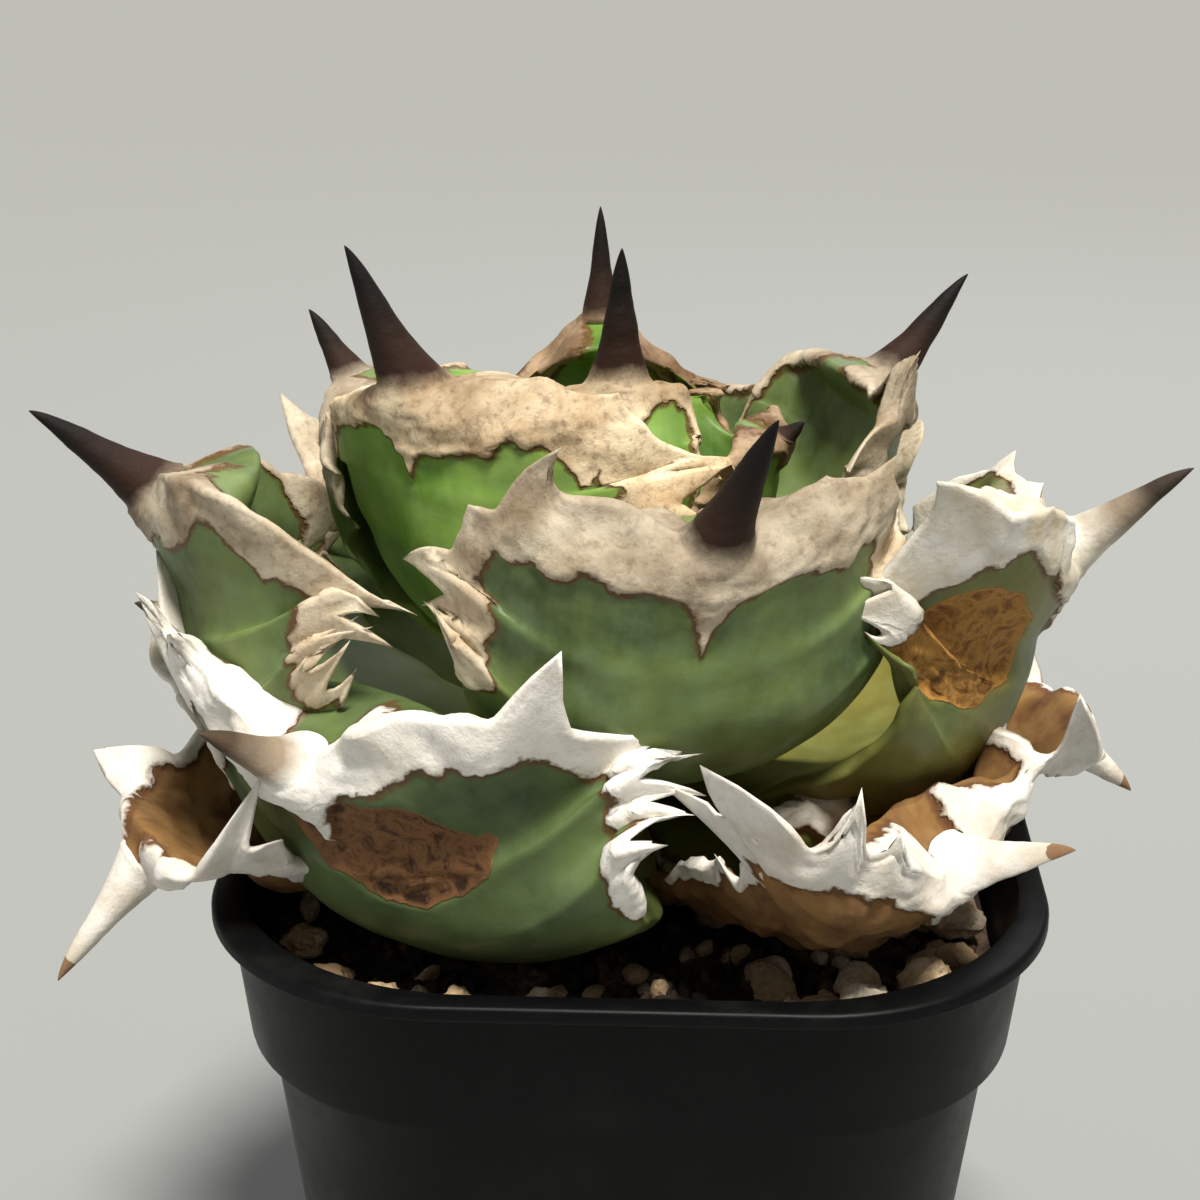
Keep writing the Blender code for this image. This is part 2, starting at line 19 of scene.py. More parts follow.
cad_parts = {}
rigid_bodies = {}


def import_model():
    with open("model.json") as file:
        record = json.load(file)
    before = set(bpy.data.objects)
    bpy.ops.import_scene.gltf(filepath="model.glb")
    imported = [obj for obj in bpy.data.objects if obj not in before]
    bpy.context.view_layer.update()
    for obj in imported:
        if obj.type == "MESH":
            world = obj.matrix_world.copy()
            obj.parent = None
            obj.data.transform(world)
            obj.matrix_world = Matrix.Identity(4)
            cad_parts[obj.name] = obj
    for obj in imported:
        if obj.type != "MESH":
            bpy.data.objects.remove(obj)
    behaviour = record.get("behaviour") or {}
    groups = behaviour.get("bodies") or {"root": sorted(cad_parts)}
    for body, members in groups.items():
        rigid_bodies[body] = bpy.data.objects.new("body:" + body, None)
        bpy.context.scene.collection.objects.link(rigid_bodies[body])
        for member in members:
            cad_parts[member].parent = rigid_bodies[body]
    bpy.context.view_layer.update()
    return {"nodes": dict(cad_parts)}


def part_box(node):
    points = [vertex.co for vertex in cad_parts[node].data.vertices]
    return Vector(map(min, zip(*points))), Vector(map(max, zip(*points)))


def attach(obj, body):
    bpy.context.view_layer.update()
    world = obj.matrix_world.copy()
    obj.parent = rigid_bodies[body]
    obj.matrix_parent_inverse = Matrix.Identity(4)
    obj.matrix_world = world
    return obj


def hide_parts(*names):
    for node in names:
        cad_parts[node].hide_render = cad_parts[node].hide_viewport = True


MM = 0.001
LOG = logging.getLogger("agave")
Colour = Tuple[float, float, float, float]
Rib = Tuple[Tuple[float, ...], ...]
Value = Union[bpy.types.NodeSocket, float, Colour]
Point = Tuple[float, float, float]
SPAN_STEPS = 40  # dense points to each span of a leaf's rib
MARGIN_STEPS = 420  # points along a leaf's flat margin
OUTSIDE = -5.0  # millimetres: well outside the horn or the scar
FULL_HORN = 3.0  # millimetres: well inside the horn


def linear(code: str) -> Colour:
    """Turn an sRGB hex colour into a linear one.

    Args:
        code: The colour as "#rrggbb".

    Returns:
        Linear red, green, blue and an alpha of one.
    """
    parts = [int(code[i:i + 2], 16) / 255 for i in (1, 3, 5)]
    return (*[p / 12.92 if p <= 0.04045 else ((p + 0.055) / 1.055) ** 2.4 for p in parts], 1.0)


def lattice_noise(points: np.ndarray, seed: int = 0) -> np.ndarray:
    """Smooth noise between -1 and 1.

    Args:
        points: An (N, 3) array of places, one unit to a lump.
        seed: Chooses the pattern.

    Returns:
        One value for each place.
    """
    base = np.floor(points).astype(np.int64)
    part = points - base
    part = part * part * part * (part * (part * 6 - 15) + 10)
    total = np.zeros(len(points))
    for corner in range(8):
        step = np.array([corner & 1, corner >> 1 & 1, corner >> 2 & 1])
        cell = base + step
        key = (cell[:, 0] * 73856093) ^ (cell[:, 1] * 19349663) ^ (cell[:, 2] * 83492791) ^ (seed * 40503)
        key = ((key ^ (key >> 13)) * 1274126177) & 0x7FFFFFFF
        value = ((key ^ (key >> 15)) & 0xFFFF) / 32767.5 - 1
        total += value * np.prod(np.where(step == 1, part, 1 - part), axis=1)
    return total


def smooth_step(low: float, high: float, value: np.ndarray) -> np.ndarray:
    """Ease from 0 at low to 1 at high.

    Args:
        low: Where the rise starts.
        high: Where it ends.
        value: The values to ease.

    Returns:
        The eased values.
    """
    t = np.clip((value - low) / (high - low), 0, 1)
    return t * t * (3 - 2 * t)


def add_node(tree: bpy.types.NodeTree, kind: str, settings: Optional[dict] = None,
             links: Optional[dict] = None) -> bpy.types.Node:
    """Add a node to a tree, with its settings and what feeds it.

    Args:
        tree: The node tree.
        kind: The node's type name.
        settings: Attributes of the node, or values of its inputs, by name or index.
        links: Output sockets that feed its inputs, by name or index.

    Returns:
        The new node.
    """
    node = tree.nodes.new(kind)
    for name, value in (settings or {}).items():
        if isinstance(name, str) and hasattr(node, name):
            setattr(node, name, value)
        else:
            node.inputs[name].default_value = value
    for name, source in (links or {}).items():
        tree.links.new(source, node.inputs[name])
    return node


def blend(tree: bpy.types.NodeTree, share: Value, first: Value, second: Value) -> bpy.types.NodeSocket:
    """Mix two colours, each a socket or a linear colour.

    Args:
        tree: The node tree.
        share: How much of the second, as a socket or a number.
        first: Colour at a share of 0.
        second: Colour at a share of 1.

    Returns:
        The mixed colour's socket.
    """
    node = tree.nodes.new("ShaderNodeMix")
    node.data_type = "RGBA"
    for place, value in ((0, share), (6, first), (7, second)):
        if isinstance(value, bpy.types.NodeSocket):
            tree.links.new(value, node.inputs[place])
        else:
            node.inputs[place].default_value = value
    return node.outputs[2]


def ramp(tree: bpy.types.NodeTree, source: bpy.types.NodeSocket,
         stops: Sequence[Tuple[float, Colour]]) -> bpy.types.NodeSocket:
    """Colour a value by a ramp.

    Args:
        tree: The node tree.
        source: The value.
        stops: Places from 0 to 1 and their linear colours.

    Returns:
        The colour's socket.
    """
    node = add_node(tree, "ShaderNodeValToRGB", links={0: source})
    elements = node.color_ramp.elements
    while len(elements) < len(stops):
        elements.new(0.5)
    for element, (place, colour) in zip(elements, stops):
        element.position = place
        element.color = colour
    return node.outputs[0]


def grey(value: float) -> Colour:
    """A grey of one linear value.

    Args:
        value: How light it is, from 0 to 1.

    Returns:
        The grey.
    """
    return (value, value, value, 1.0)


def sum_of(tree: bpy.types.NodeTree, kind: str, first: Value, second: Value) -> bpy.types.NodeSocket:
    """Combine two values, each a socket or a number.

    Args:
        tree: The node tree.
        kind: The operation, such as ADD or MULTIPLY.
        first: First value.
        second: Second value.

    Returns:
        The result's socket.
    """
    node = add_node(tree, "ShaderNodeMath", {"operation": kind})
    for place, value in ((0, first), (1, second)):
        if isinstance(value, bpy.types.NodeSocket):
            tree.links.new(value, node.inputs[place])
        else:
            node.inputs[place].default_value = value
    return node.outputs[0]


def lumps_of(tree: bpy.types.NodeTree, coords: bpy.types.NodeSocket, size_mm: float, detail: float,
             roughness: float = 0.5, distortion: float = 0.0) -> bpy.types.Node:
    """Add a noise pattern of a real size.

    Args:
        tree: The node tree.
        coords: Where the pattern is read.
        size_mm: Size of a lump, in millimetres.
        detail: How many finer layers it has.
        roughness: How strong the finer layers are.
        distortion: How far the lumps are twisted.

    Returns:
        The noise node.
    """
    settings = {"Scale": 1 / (size_mm * MM), "Detail": detail, "Roughness": roughness,
                "Distortion": distortion}
    return add_node(tree, "ShaderNodeTexNoise", settings, {"Vector": coords})


def new_material(name: str) -> Tuple[bpy.types.Material, bpy.types.NodeTree, bpy.types.Node]:
    """Make an empty node material.

    Args:
        name: The material's name.

    Returns:
        The material, its tree and its Principled shader.
    """
    material = bpy.data.materials.new(name)
    material.use_nodes = True
    tree = material.node_tree
    return material, tree, tree.nodes["Principled BSDF"]


def add_object(name: str, data: Optional[bpy.types.ID]) -> bpy.types.Object:
    """Link an object to the scene.

    Args:
        name: The object's name.
        data: Its mesh, lamp or camera.

    Returns:
        The object, at the origin.
    """
    obj = bpy.data.objects.new(name, data)
    bpy.context.scene.collection.objects.link(obj)
    return obj


def skin_over(rings: Sequence[Sequence[Point]]) -> Tuple[List[Point], List[Tuple[int, ...]]]:
    """Close a skin over rings of equally many points.

    Args:
        rings: The rings, from the first cap to the last.

    Returns:
        The skin's points and faces, with a face over each end.
    """
    count = len(rings[0])
    faces = []
    for row in range(len(rings) - 1):
        for k in range(count):
            a, b = row * count + k, row * count + (k + 1) % count
            faces.append((a, b, b + count, a + count))
    faces.append(tuple(reversed(range(count))))
    faces.append(tuple(range((len(rings) - 1) * count, len(rings) * count)))
    return [point for ring in rings for point in ring], faces


def place_mesh(name: str, vertices: Sequence, faces: Sequence,
               material: bpy.types.Material) -> bpy.types.Object:
    """Make a smooth-shaded object at the origin.

    Args:
        name: The object's name.
        vertices: Its points, in metres.
        faces: Its faces.
        material: Its finish.

    Returns:
        The object.
    """
    mesh = bpy.data.meshes.new(name)
    mesh.from_pydata(vertices, [], faces)
    mesh.materials.append(material)
    mesh.shade_smooth()
    return add_object(name, mesh)


def hand_over(piece: bpy.types.Object, nodes: Sequence[str] = ()) -> None:
    """Attach a piece to the frame's root body and hide the frame's nodes that it stands for.

    Args:
        piece: The finished piece.
        nodes: The frame's nodes that it stands for.
    """
    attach(piece, "root")
    if nodes:
        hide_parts(*nodes)
    LOG.info("%s: %d faces", piece.name, len(piece.data.polygons))


# --------------------------------------------------------------------------- leaves


@dataclass(frozen=True)
class LeafFinish:
    """Living agave leaf: waxy skin under a thin bloom, with a dry horn margin and spine.

    The skin is a soft satin because of its wax; the horn is matt like old nail, chalky where
    the sun has bleached it, and turns brown and harder towards the spine's tip.
    """
    name: str
    deep: str = "#40502a"
    light: str = "#73864a"
    base: str = "#a8b062"
    bloom: str = "#7f9672"
    horn: str = "#c6b295"
    stain: str = "#9a7c58"
    mottle: str = "#5f4029"
    mottle_share: float = 0.5
    spine: str = "#2e1b10"
    tip: str = "#0b0705"
    spine_start: float = 0.5
    rim: str = "#5f3e22"
    scar: str = "#3e281a"
    scar_light: str = "#7d5836"
    blade_lump_mm: float = 11.0
    mottle_mm: float = 1.1
    skin_roughness: float = 0.42
    horn_roughness: float = 0.72

    def material(self) -> bpy.types.Material:
        """Build the leaf's node material.

        Returns:
            The material.
        """
        material, tree, shader = new_material(self.name)
        coords = add_node(tree, "ShaderNodeTexCoord").outputs["Object"]
        zones = add_node(tree, "ShaderNodeAttribute", {"attribute_name": "zones"})
        zone = add_node(tree, "ShaderNodeSeparateXYZ", links={0: zones.outputs["Vector"]})
        where = add_node(tree, "ShaderNodeAttribute", {"attribute_name": "where"})
        spot = add_node(tree, "ShaderNodeSeparateXYZ", links={0: where.outputs["Vector"]})
        fray = lumps_of(tree, coords, 1.3, 4.0)
        ragged = sum_of(tree, "MULTIPLY", sum_of(tree, "SUBTRACT", fray.outputs[0], 0.5), 1.5)
        edge = sum_of(tree, "ADD", zone.outputs[0], ragged)
        horn_share = ramp(tree, sum_of(tree, "ADD", edge, 0.5), ((0.42, grey(0.0)), (0.58, grey(1.0))))
        off_edge = sum_of(tree, "ABSOLUTE", sum_of(tree, "ADD", edge, 0.12), 0.0)
        rim = ramp(tree, off_edge, ((0.12, grey(0.85)), (0.5, grey(0.0))))
        torn = sum_of(tree, "MULTIPLY", ragged, 0.4)
        scar_edge = sum_of(tree, "ADD", sum_of(tree, "ADD", zone.outputs[1], torn), 0.5)
        scar_share = ramp(tree, scar_edge, ((0.42, grey(0.0)), (0.58, grey(1.0))))
        skin = self._skin(tree, coords, spot)
        horn = self._horn(tree, coords, spot)
        wrinkles = lumps_of(tree, coords, 2.6, 6.0, 0.65, 0.5)
        scar = ramp(tree, wrinkles.outputs[0], ((0.36, linear(self.scar)), (0.5, linear(self.scar_light)),
                                                (0.66, linear(self.scar))))
        ring = ramp(tree, scar_edge, ((0.55, grey(1.0)), (0.95, grey(0.0))))
        scar = blend(tree, ring, scar, linear(self.scar_light))
        skin = blend(tree, scar_share, skin, scar)
        colour = blend(tree, horn_share, skin, horn)
        colour = blend(tree, rim, colour, linear(self.rim))
        tree.links.new(colour, shader.inputs["Base Color"])
        rough = blend(tree, horn_share, grey(self.skin_roughness), grey(self.horn_roughness))
        tree.links.new(blend(tree, scar_share, rough, grey(0.75)), shader.inputs["Roughness"])
        self._relief(tree, coords, horn_share, scar_share, shader, wrinkles)
        shader.inputs["IOR"].default_value = 1.45
        shader.inputs["Specular IOR Level"].default_value = 0.32
        return material

    def _skin(self, tree: bpy.types.NodeTree, coords: bpy.types.NodeSocket,
              spot: bpy.types.Node) -> bpy.types.NodeSocket:
        """Colour the green skin: lumps of light and deep green, streaks, bloom and freckles.

        Args:
            tree: The material's tree.
            coords: Object coordinates.
            spot: The separated "where" attribute.

        Returns:
            The skin's colour.
        """
        lumps = lumps_of(tree, coords, self.blade_lump_mm, 3.0, 0.55)
        skin = ramp(tree, lumps.outputs[0], ((0.32, linear(self.deep)), (0.68, linear(self.light))))
        foot = ramp(tree, spot.outputs[0], ((0.05, grey(0.9)), (0.26, grey(0.0))))
        skin = blend(tree, foot, skin, linear(self.base))
        uv = add_node(tree, "ShaderNodeUVMap", {"uv_map": "leaf"}).outputs[0]
        strands = add_node(tree, "ShaderNodeMapping", {"Scale": (1100.0, 60.0, 1.0)}, {"Vector": uv})
        streaks = add_node(tree, "ShaderNodeTexNoise", {"Scale": 1.0, "Detail": 3.0},
                           {"Vector": strands.outputs[0]})
        share = ramp(tree, streaks.outputs[0], ((0.45, grey(0.0)), (0.75, grey(0.16))))
        skin = blend(tree, share, skin, linear(self.light))
        dust = lumps_of(tree, coords, 4.5, 6.0, 0.65)
        share = ramp(tree, dust.outputs[0], ((0.42, grey(0.0)), (0.7, grey(0.35))))
        skin = blend(tree, share, skin, linear(self.bloom))
        freckle = add_node(tree, "ShaderNodeTexVoronoi", {"Scale": 1 / (5.0 * MM)}, {"Vector": coords})
        share = ramp(tree, freckle.outputs[0], ((0.0, grey(0.55)), (0.055, grey(0.0))))
        return blend(tree, share, skin, linear(self.deep))

    def _horn(self, tree: bpy.types.NodeTree, coords: bpy.types.NodeSocket,
              spot: bpy.types.Node) -> bpy.types.NodeSocket:
        """Colour the horn: bleached, stained and mottled, then brown to the spine's tip.

        Args:
            tree: The material's tree.
            coords: Object coordinates.
            spot: The separated "where" attribute.

        Returns:
            The horn's colour.
        """
        stains = lumps_of(tree, coords, 6.5, 4.0, 0.6)
        horn = ramp(tree, stains.outputs[0], ((0.38, linear(self.horn)), (0.72, linear(self.stain))))
        grain = lumps_of(tree, coords, self.mottle_mm, 5.0, 0.7)
        share = ramp(tree, grain.outputs[0], ((0.5, grey(0.0)), (0.68, grey(self.mottle_share))))
        horn = blend(tree, share, horn, linear(self.mottle))
        start = self.spine_start
        along = sum_of(tree, "ADD", spot.outputs[0],
                       sum_of(tree, "MULTIPLY", sum_of(tree, "SUBTRACT", stains.outputs[0], 0.5), 0.12))
        share = ramp(tree, along, ((start - 0.07, grey(0.0)), (start + 0.07, grey(1.0))))
        horn = blend(tree, share, horn, linear(self.spine))
        share = ramp(tree, along, ((start + 0.1, grey(0.0)), (0.86, grey(1.0))))
        return blend(tree, share, horn, linear(self.tip))

    def _relief(self, tree: bpy.types.NodeTree, coords: bpy.types.NodeSocket,
                horn_share: bpy.types.NodeSocket, scar_share: bpy.types.NodeSocket,
                shader: bpy.types.Node, wrinkles: bpy.types.Node) -> None:
        """Add fine relief: pores on the skin, a lip and grain on the horn, folds in the scar.

        Args:
            tree: The material's tree.
            coords: Object coordinates.
            horn_share: How much of each spot is horn.
            scar_share: How much of each spot is scar.
            shader: The shader whose normal it bends.
            wrinkles: The scar's own pattern.
        """
        pores = lumps_of(tree, coords, 0.7, 3.0)
        grain = lumps_of(tree, coords, 0.9, 6.0, 0.7)
        proud = sum_of(tree, "ADD", sum_of(tree, "MULTIPLY", grain.outputs[0], 0.7), 0.8)
        height = blend(tree, horn_share, sum_of(tree, "MULTIPLY", pores.outputs[0], 0.12), proud)
        height = blend(tree, scar_share, height, sum_of(tree, "MULTIPLY", wrinkles.outputs[0], 1.6))
        bump = add_node(tree, "ShaderNodeBump", {"Strength": 0.6, "Distance": 0.4 * MM}, {"Height": height})
        tree.links.new(bump.outputs[0], shader.inputs["Normal"])


@dataclass(frozen=True)
class Tooth:
    """A hooked tooth on a leaf's margin, in millimetres.

    Place is measured along the margin from the spine's foot, height stands off the margin,
    lean bends it towards the spine and curl bends it towards the bud.
    """
    place: float
    height: float
    reach: float
    lean: float = 0.0
    curl: float = 0.0


@dataclass(frozen=True)
class Scar:
    """A dried, sunken patch on a leaf's back, in millimetres: across, below the spine, half sizes."""
    across: float
    drop: float
    half_across: float
    half_drop: float
    depth: float = 0.8


class LeafAge(Enum):
    """How old a leaf is, which sets its finish."""
    YOUNG = "young"
    MATURE = "mature"
    SHADED = "shaded"
    OLD = "old"
    YELLOWING = "yellowing"
    DRY = "dry"


FINISHES: Dict[LeafAge, LeafFinish] = {
    LeafAge.YOUNG: LeafFinish("young_agave_leaf", deep="#56802c", light="#97b856", horn="#efdcba",
                              stain="#c8a678", mottle="#573a25", mottle_share=0.55, spine="#2e1a0f",
                              tip="#0b0705"),
    LeafAge.MATURE: LeafFinish("mature_agave_leaf", horn="#d4c8b0", stain="#b29c7c", mottle_share=0.4),
    LeafAge.SHADED: LeafFinish("shaded_agave_leaf", deep="#3f6426", light="#7a9a3e", bloom="#7f9858",
                               horn="#b9a080", stain="#8d6c48"),
    LeafAge.OLD: LeafFinish("old_agave_leaf", deep="#344228", light="#5c6e3e", bloom="#687a56",
                            horn="#f0ede6", stain="#dcd6c9", mottle="#a08c72", mottle_share=0.25,
                            spine="#8d7e6b", tip="#453729", spine_start=0.58),
    LeafAge.YELLOWING: LeafFinish("yellowing_agave_leaf", deep="#4c5a2c", light="#767034",
                                  base="#746e34", bloom="#85905c", horn="#e6e3db", stain="#c0b294",
                                  mottle="#a8906a", mottle_share=0.25, spine="#8a7c6a", tip="#3a2f28",
                                  spine_start=0.66, scar="#6b4520", scar_light="#a87c3c"),
    LeafAge.DRY: LeafFinish("dried_agave_leaf", deep="#54371f", light="#876438", base="#5c3d22",
                            bloom="#9c7e54", horn="#e6e3dc", stain="#c8bdac", mottle="#a89880",
                            mottle_share=0.2, spine="#c8beae", tip="#84664a", spine_start=0.8,
                            skin_roughness=0.8, blade_lump_mm=5.0),
}

# Knots along the blade, from its foot to the spine: share of the length, share of the full value.
WIDTH_FORM = ((0.0, 0.24), (0.2, 0.56), (0.45, 0.92), (0.68, 1.0), (0.84, 0.97), (0.94, 0.68), (1.0, 0.0))
THICKNESS_FORM = ((0.0, 0.55), (0.25, 0.9), (0.6, 1.0), (0.85, 0.75), (1.0, 0.6))
SHOULDER_FORM = ((0.0, 0.0), (0.3, 0.05), (0.52, 0.55), (0.7, 0.92), (0.88, 1.0), (0.96, 0.8), (1.0, 0.3))


def form_at(form: Sequence[Tuple[float, float]], q: np.ndarray) -> np.ndarray:
    """Smooth values between the knots of a form.

    Args:
        form: Shares of the blade's length and the value there.
        q: Where to read it.

    Returns:
        The values.
    """
    xs = np.array([knot[0] for knot in form])
    ys = np.array([knot[1] for knot in form])
    slopes = np.gradient(ys, xs)
    q = np.clip(q, xs[0], xs[-1])
    i = np.clip(np.searchsorted(xs, q) - 1, 0, len(xs) - 2)
    step = xs[i + 1] - xs[i]
    t = (q - xs[i]) / step
    return ((2 * t ** 3 - 3 * t ** 2 + 1) * ys[i] + (t ** 3 - 2 * t ** 2 + t) * step * slopes[i]
            + (3 * t ** 2 - 2 * t ** 3) * ys[i + 1] + (t ** 3 - t ** 2) * step * slopes[i + 1])


def smooth_line(points: np.ndarray) -> Tuple[np.ndarray, np.ndarray]:
    """Run a smooth curve through points.

    Args:
        points: The points, one row each.

    Returns:
        Dense points on the curve, forty to a span, and how far along each one lies.
    """
    ends = np.vstack([2 * points[0] - points[1], points, 2 * points[-1] - points[-2]])
    dense = []
    for i in range(len(points) - 1):
        a, b, c, d = ends[i:i + 4]
        for t in np.linspace(0, 1, SPAN_STEPS, endpoint=False):
            dense.append(0.5 * (2 * b + (c - a) * t + (2 * a - 5 * b + 4 * c - d) * t ** 2
                                + (3 * b - a - 3 * c + d) * t ** 3))
    dense.append(points[-1])
    curve = np.array(dense)
    along = np.concatenate([[0], np.cumsum(np.linalg.norm(np.diff(curve, axis=0), axis=1))])
    return curve, along


@dataclass(frozen=True)
class Leaf:
    """One leaf, with its horn margin, teeth and spine as one skin.  Millimetres and degrees.

    Attributes:
        azimuth: Which way the leaf points; 0 is the front and 90 the right.
        rib: Points along the leaf's back: out from the axis, up from the rim, and sideways.
        neck: The point of the rib where the spine stands.
        wrap_radius: How tightly the blade is rolled.
        shoulder: How far the margin's sides run on past the middle.
        left_share, right_share: How much of the shoulder each side has.
        band: Width of the horn at the spine; it thins along the margin.
        horn_reach: How far along the margin the horn goes.
        horn_rise: How far the horn stands proud of the skin.
        web: How far the blade climbs the spine.
        vee_drop, vee_width: Size of the point of horn that runs down below the spine.
        wave, crumple: How far the margin flutters and the whole blade is creased.
        blade_rows, spine_rows, columns: Fineness of the mesh.
    """
    name: str
    azimuth: float
    rib: Rib
    neck: int
    half_width: float
    wrap_radius: float
    thickness: float
    spine_radius: float
    age: LeafAge
    shoulder: float = 6.0
    left_share: float = 1.0
    right_share: float = 1.0
    left: Tuple[Tooth, ...] = ()
    right: Tuple[Tooth, ...] = ()
    scar: Optional[Scar] = None
    band: float = 5.0
    horn_reach: float = 62.0
    horn_rise: float = 0.5
    web: float = 6.0
    vee_drop: float = 9.0
    vee_width: float = 4.5
    wave: float = 0.7
    crumple: float = 0.0
    blade_rows: int = 170
    spine_rows: int = 44
    columns: int = 30

    def _seed(self) -> int:
        """Give the leaf a number of its own, for its irregularities.

        Returns:
            The number.
        """
        return sum(ord(c) for c in self.name)

    def _sizes(self, q: np.ndarray) -> Tuple[np.ndarray, np.ndarray, np.ndarray, np.ndarray]:
        """Size the cross-sections.

        Args:
            q: Shares along the leaf: 0 at the foot, 1 at the spine's foot, 2 at its tip.

        Returns:
            Half width, thickness, roundness and shoulder lift.
        """
        radius = self.spine_radius
        rest = np.clip(2 - q, 0, 1)
        width = self.half_width * form_at(WIDTH_FORM, np.minimum(q, 1))
        width = np.where(q > 0.8, (np.maximum(width, 0) ** 2.5 + radius ** 2.5) ** 0.4,
                         np.maximum(width, radius * 0.8))
        spine = radius * rest ** 0.85 * (1 - 0.25 * np.sin(np.pi * rest)) + 0.06
        width = np.where(q > 1, spine, width)
        roundness = np.where(q < 0.9, 0.0, np.clip((q - 0.9) / 0.1, 0, 1) ** 2)
        thickness = self.thickness * form_at(THICKNESS_FORM, np.minimum(q, 1))
        thickness = thickness + (2 * np.minimum(width, radius) - thickness) * roundness
        lift = 1 - np.clip((q - 1) / 0.12, 0, 1)
        rise = form_at(SHOULDER_FORM, np.minimum(q, 1))
        shoulder = self.shoulder * rise * lift * np.minimum(1, width / 8)
        return width, thickness, roundness, shoulder

    def _margin(self, blade: float) -> Tuple[np.ndarray, np.ndarray, np.ndarray, np.ndarray]:
        """Lay the margin out flat.

        Args:
            blade: The blade's length.

        Returns:
            Shares along the leaf, points, outward normals and the way from the spine's foot.
        """
        q = np.linspace(0, 1, MARGIN_STEPS)
        width, _, _, shoulder = self._sizes(q)
        line = np.stack([width, q * blade + shoulder], axis=1)
        tangent = np.gradient(line, axis=0)
        tangent /= np.linalg.norm(tangent, axis=1)[:, None]
        normal = np.stack([tangent[:, 1], -tangent[:, 0]], axis=1)
        gone = np.concatenate([[0], np.cumsum(np.linalg.norm(np.diff(line, axis=0), axis=1))])
        return q, line, normal, gone[-1] - gone

    def _rows(self, margin: Tuple[np.ndarray, ...]) -> np.ndarray:
        """Space the rows, closer where the margin runs across.

        Args:
            margin: The margin laid flat.

        Returns:
            Each row's share along the leaf.
        """
        q, _, _, way = margin
        measure = 0.45 * q + 0.55 * (1 - way / way[0])
        blade = np.interp(np.linspace(0, 1, self.blade_rows), measure, q)
        teeth = sorted({float(np.interp(-tooth.place, -way, q)) for tooth in self.left + self.right})
        kept = [s for s in blade if all(abs(s - t) > 0.0012 for t in teeth)]
        return np.array(sorted(kept + teeth) + list(1 + np.linspace(0, 1, self.spine_rows + 1)[1:]))

    def _path(self, arc: np.ndarray, curve: np.ndarray, along: np.ndarray) -> Tuple[np.ndarray, np.ndarray]:
        """Walk the leaf's rib.

        Args:
            arc: How far along the rib each row lies.
            curve: The rib's dense points.
            along: How far along each of those lies.

        Returns:
            Each row's place on the rib and the way the rib runs there.
        """
        reach = 0.5
        places = np.stack([np.interp(arc, along, curve[:, k]) for k in range(3)], axis=1)
        ahead = np.stack([np.interp(arc + reach, along, curve[:, k]) for k in range(3)], axis=1)
        behind = np.stack([np.interp(arc - reach, along, curve[:, k]) for k in range(3)], axis=1)
        forward = ahead - behind
        forward[:, 1] = 0
        forward /= np.linalg.norm(forward, axis=1)[:, None]
        return places, forward

    def _ring(self) -> Tuple[np.ndarray, np.ndarray, np.ndarray]:
        """Order the points round one cross-section: out along one face and back along the other.

        Returns:
            Each point's place across from -1 to 1, whether it is on the upper face, and which
            point of half a face it mirrors.
        """
        n = self.columns
        half = 1 - (1 - np.arange(n + 1) / n) ** 1.5
        sides = np.concatenate([half, half[::-1][1:], -half[1:], -half[::-1][1:-1]])
        upper = np.concatenate([np.zeros(n + 1), np.ones(n), np.ones(n), np.zeros(n - 1)]).astype(bool)
        upper[2 * n + 1:3 * n] = True
        pick = np.concatenate([np.arange(n + 1), np.arange(n)[::-1], np.arange(1, n + 1),
                               np.arange(1, n)[::-1]])
        return sides, upper, pick

    def grid(self) -> Tuple[np.ndarray, np.ndarray, np.ndarray, np.ndarray]:
        """The leaf's skin as a grid.

        Returns:
            Points in (out, sideways, up), zones (horn, scar), where (share, across, upper),
            and the leaf's own flat coordinates (across, along), all rows by columns.
        """
        rib = np.array([(p[0], p[2] if len(p) > 2 else 0.0, p[1]) for p in self.rib])
        curve, along = smooth_line(rib)
        blade = along[self.neck * SPAN_STEPS] + self.web
        margin = self._margin(blade)
        q = self._rows(margin)
        arc = np.where(q <= 1, q * blade, blade + (q - 1) * (along[-1] - blade))
        places, forward = self._path(arc, curve, along)
        width, thickness, roundness, shoulder = self._sizes(q)
        sides, upper, pick = self._ring()
        n = self.columns
        u = np.tile(sides, (len(q), 1))

        inward = np.stack([-forward[:, 2], np.zeros(len(q)), forward[:, 0]], axis=1)
        side = np.array([0.0, 1.0, 0.0])
        wrap = np.maximum(self.wrap_radius, width * 0.8)
        turn = width[:, None] * u / wrap[:, None]
        flat_side = wrap[:, None] * np.sin(turn)
        flat_in = wrap[:, None] * (1 - np.cos(turn))
        flat_in = flat_in + upper * thickness[:, None] * np.clip(1 - u * u, 0, 1) ** 0.75
        round_side = width[:, None] * np.sin(np.pi * u / 2)
        round_in = width[:, None] * np.where(upper, 1 + np.cos(np.pi * u / 2), 1 - np.cos(np.pi * u / 2))
        mix = roundness[:, None]
        uneven = np.where(u > 0, self.right_share, self.left_share)
        off_side = flat_side * (1 - mix) + round_side * mix
        off_in = flat_in * (1 - mix) + round_in * mix
        points = (places[:, None] + side * off_side[..., None] + inward[:, None] * off_in[..., None]
                  + forward[:, None] * (shoulder[:, None] * u * u * uneven)[..., None])
        flat = np.stack([u * width[:, None], arc[:, None] + shoulder[:, None] * u * u], axis=2)

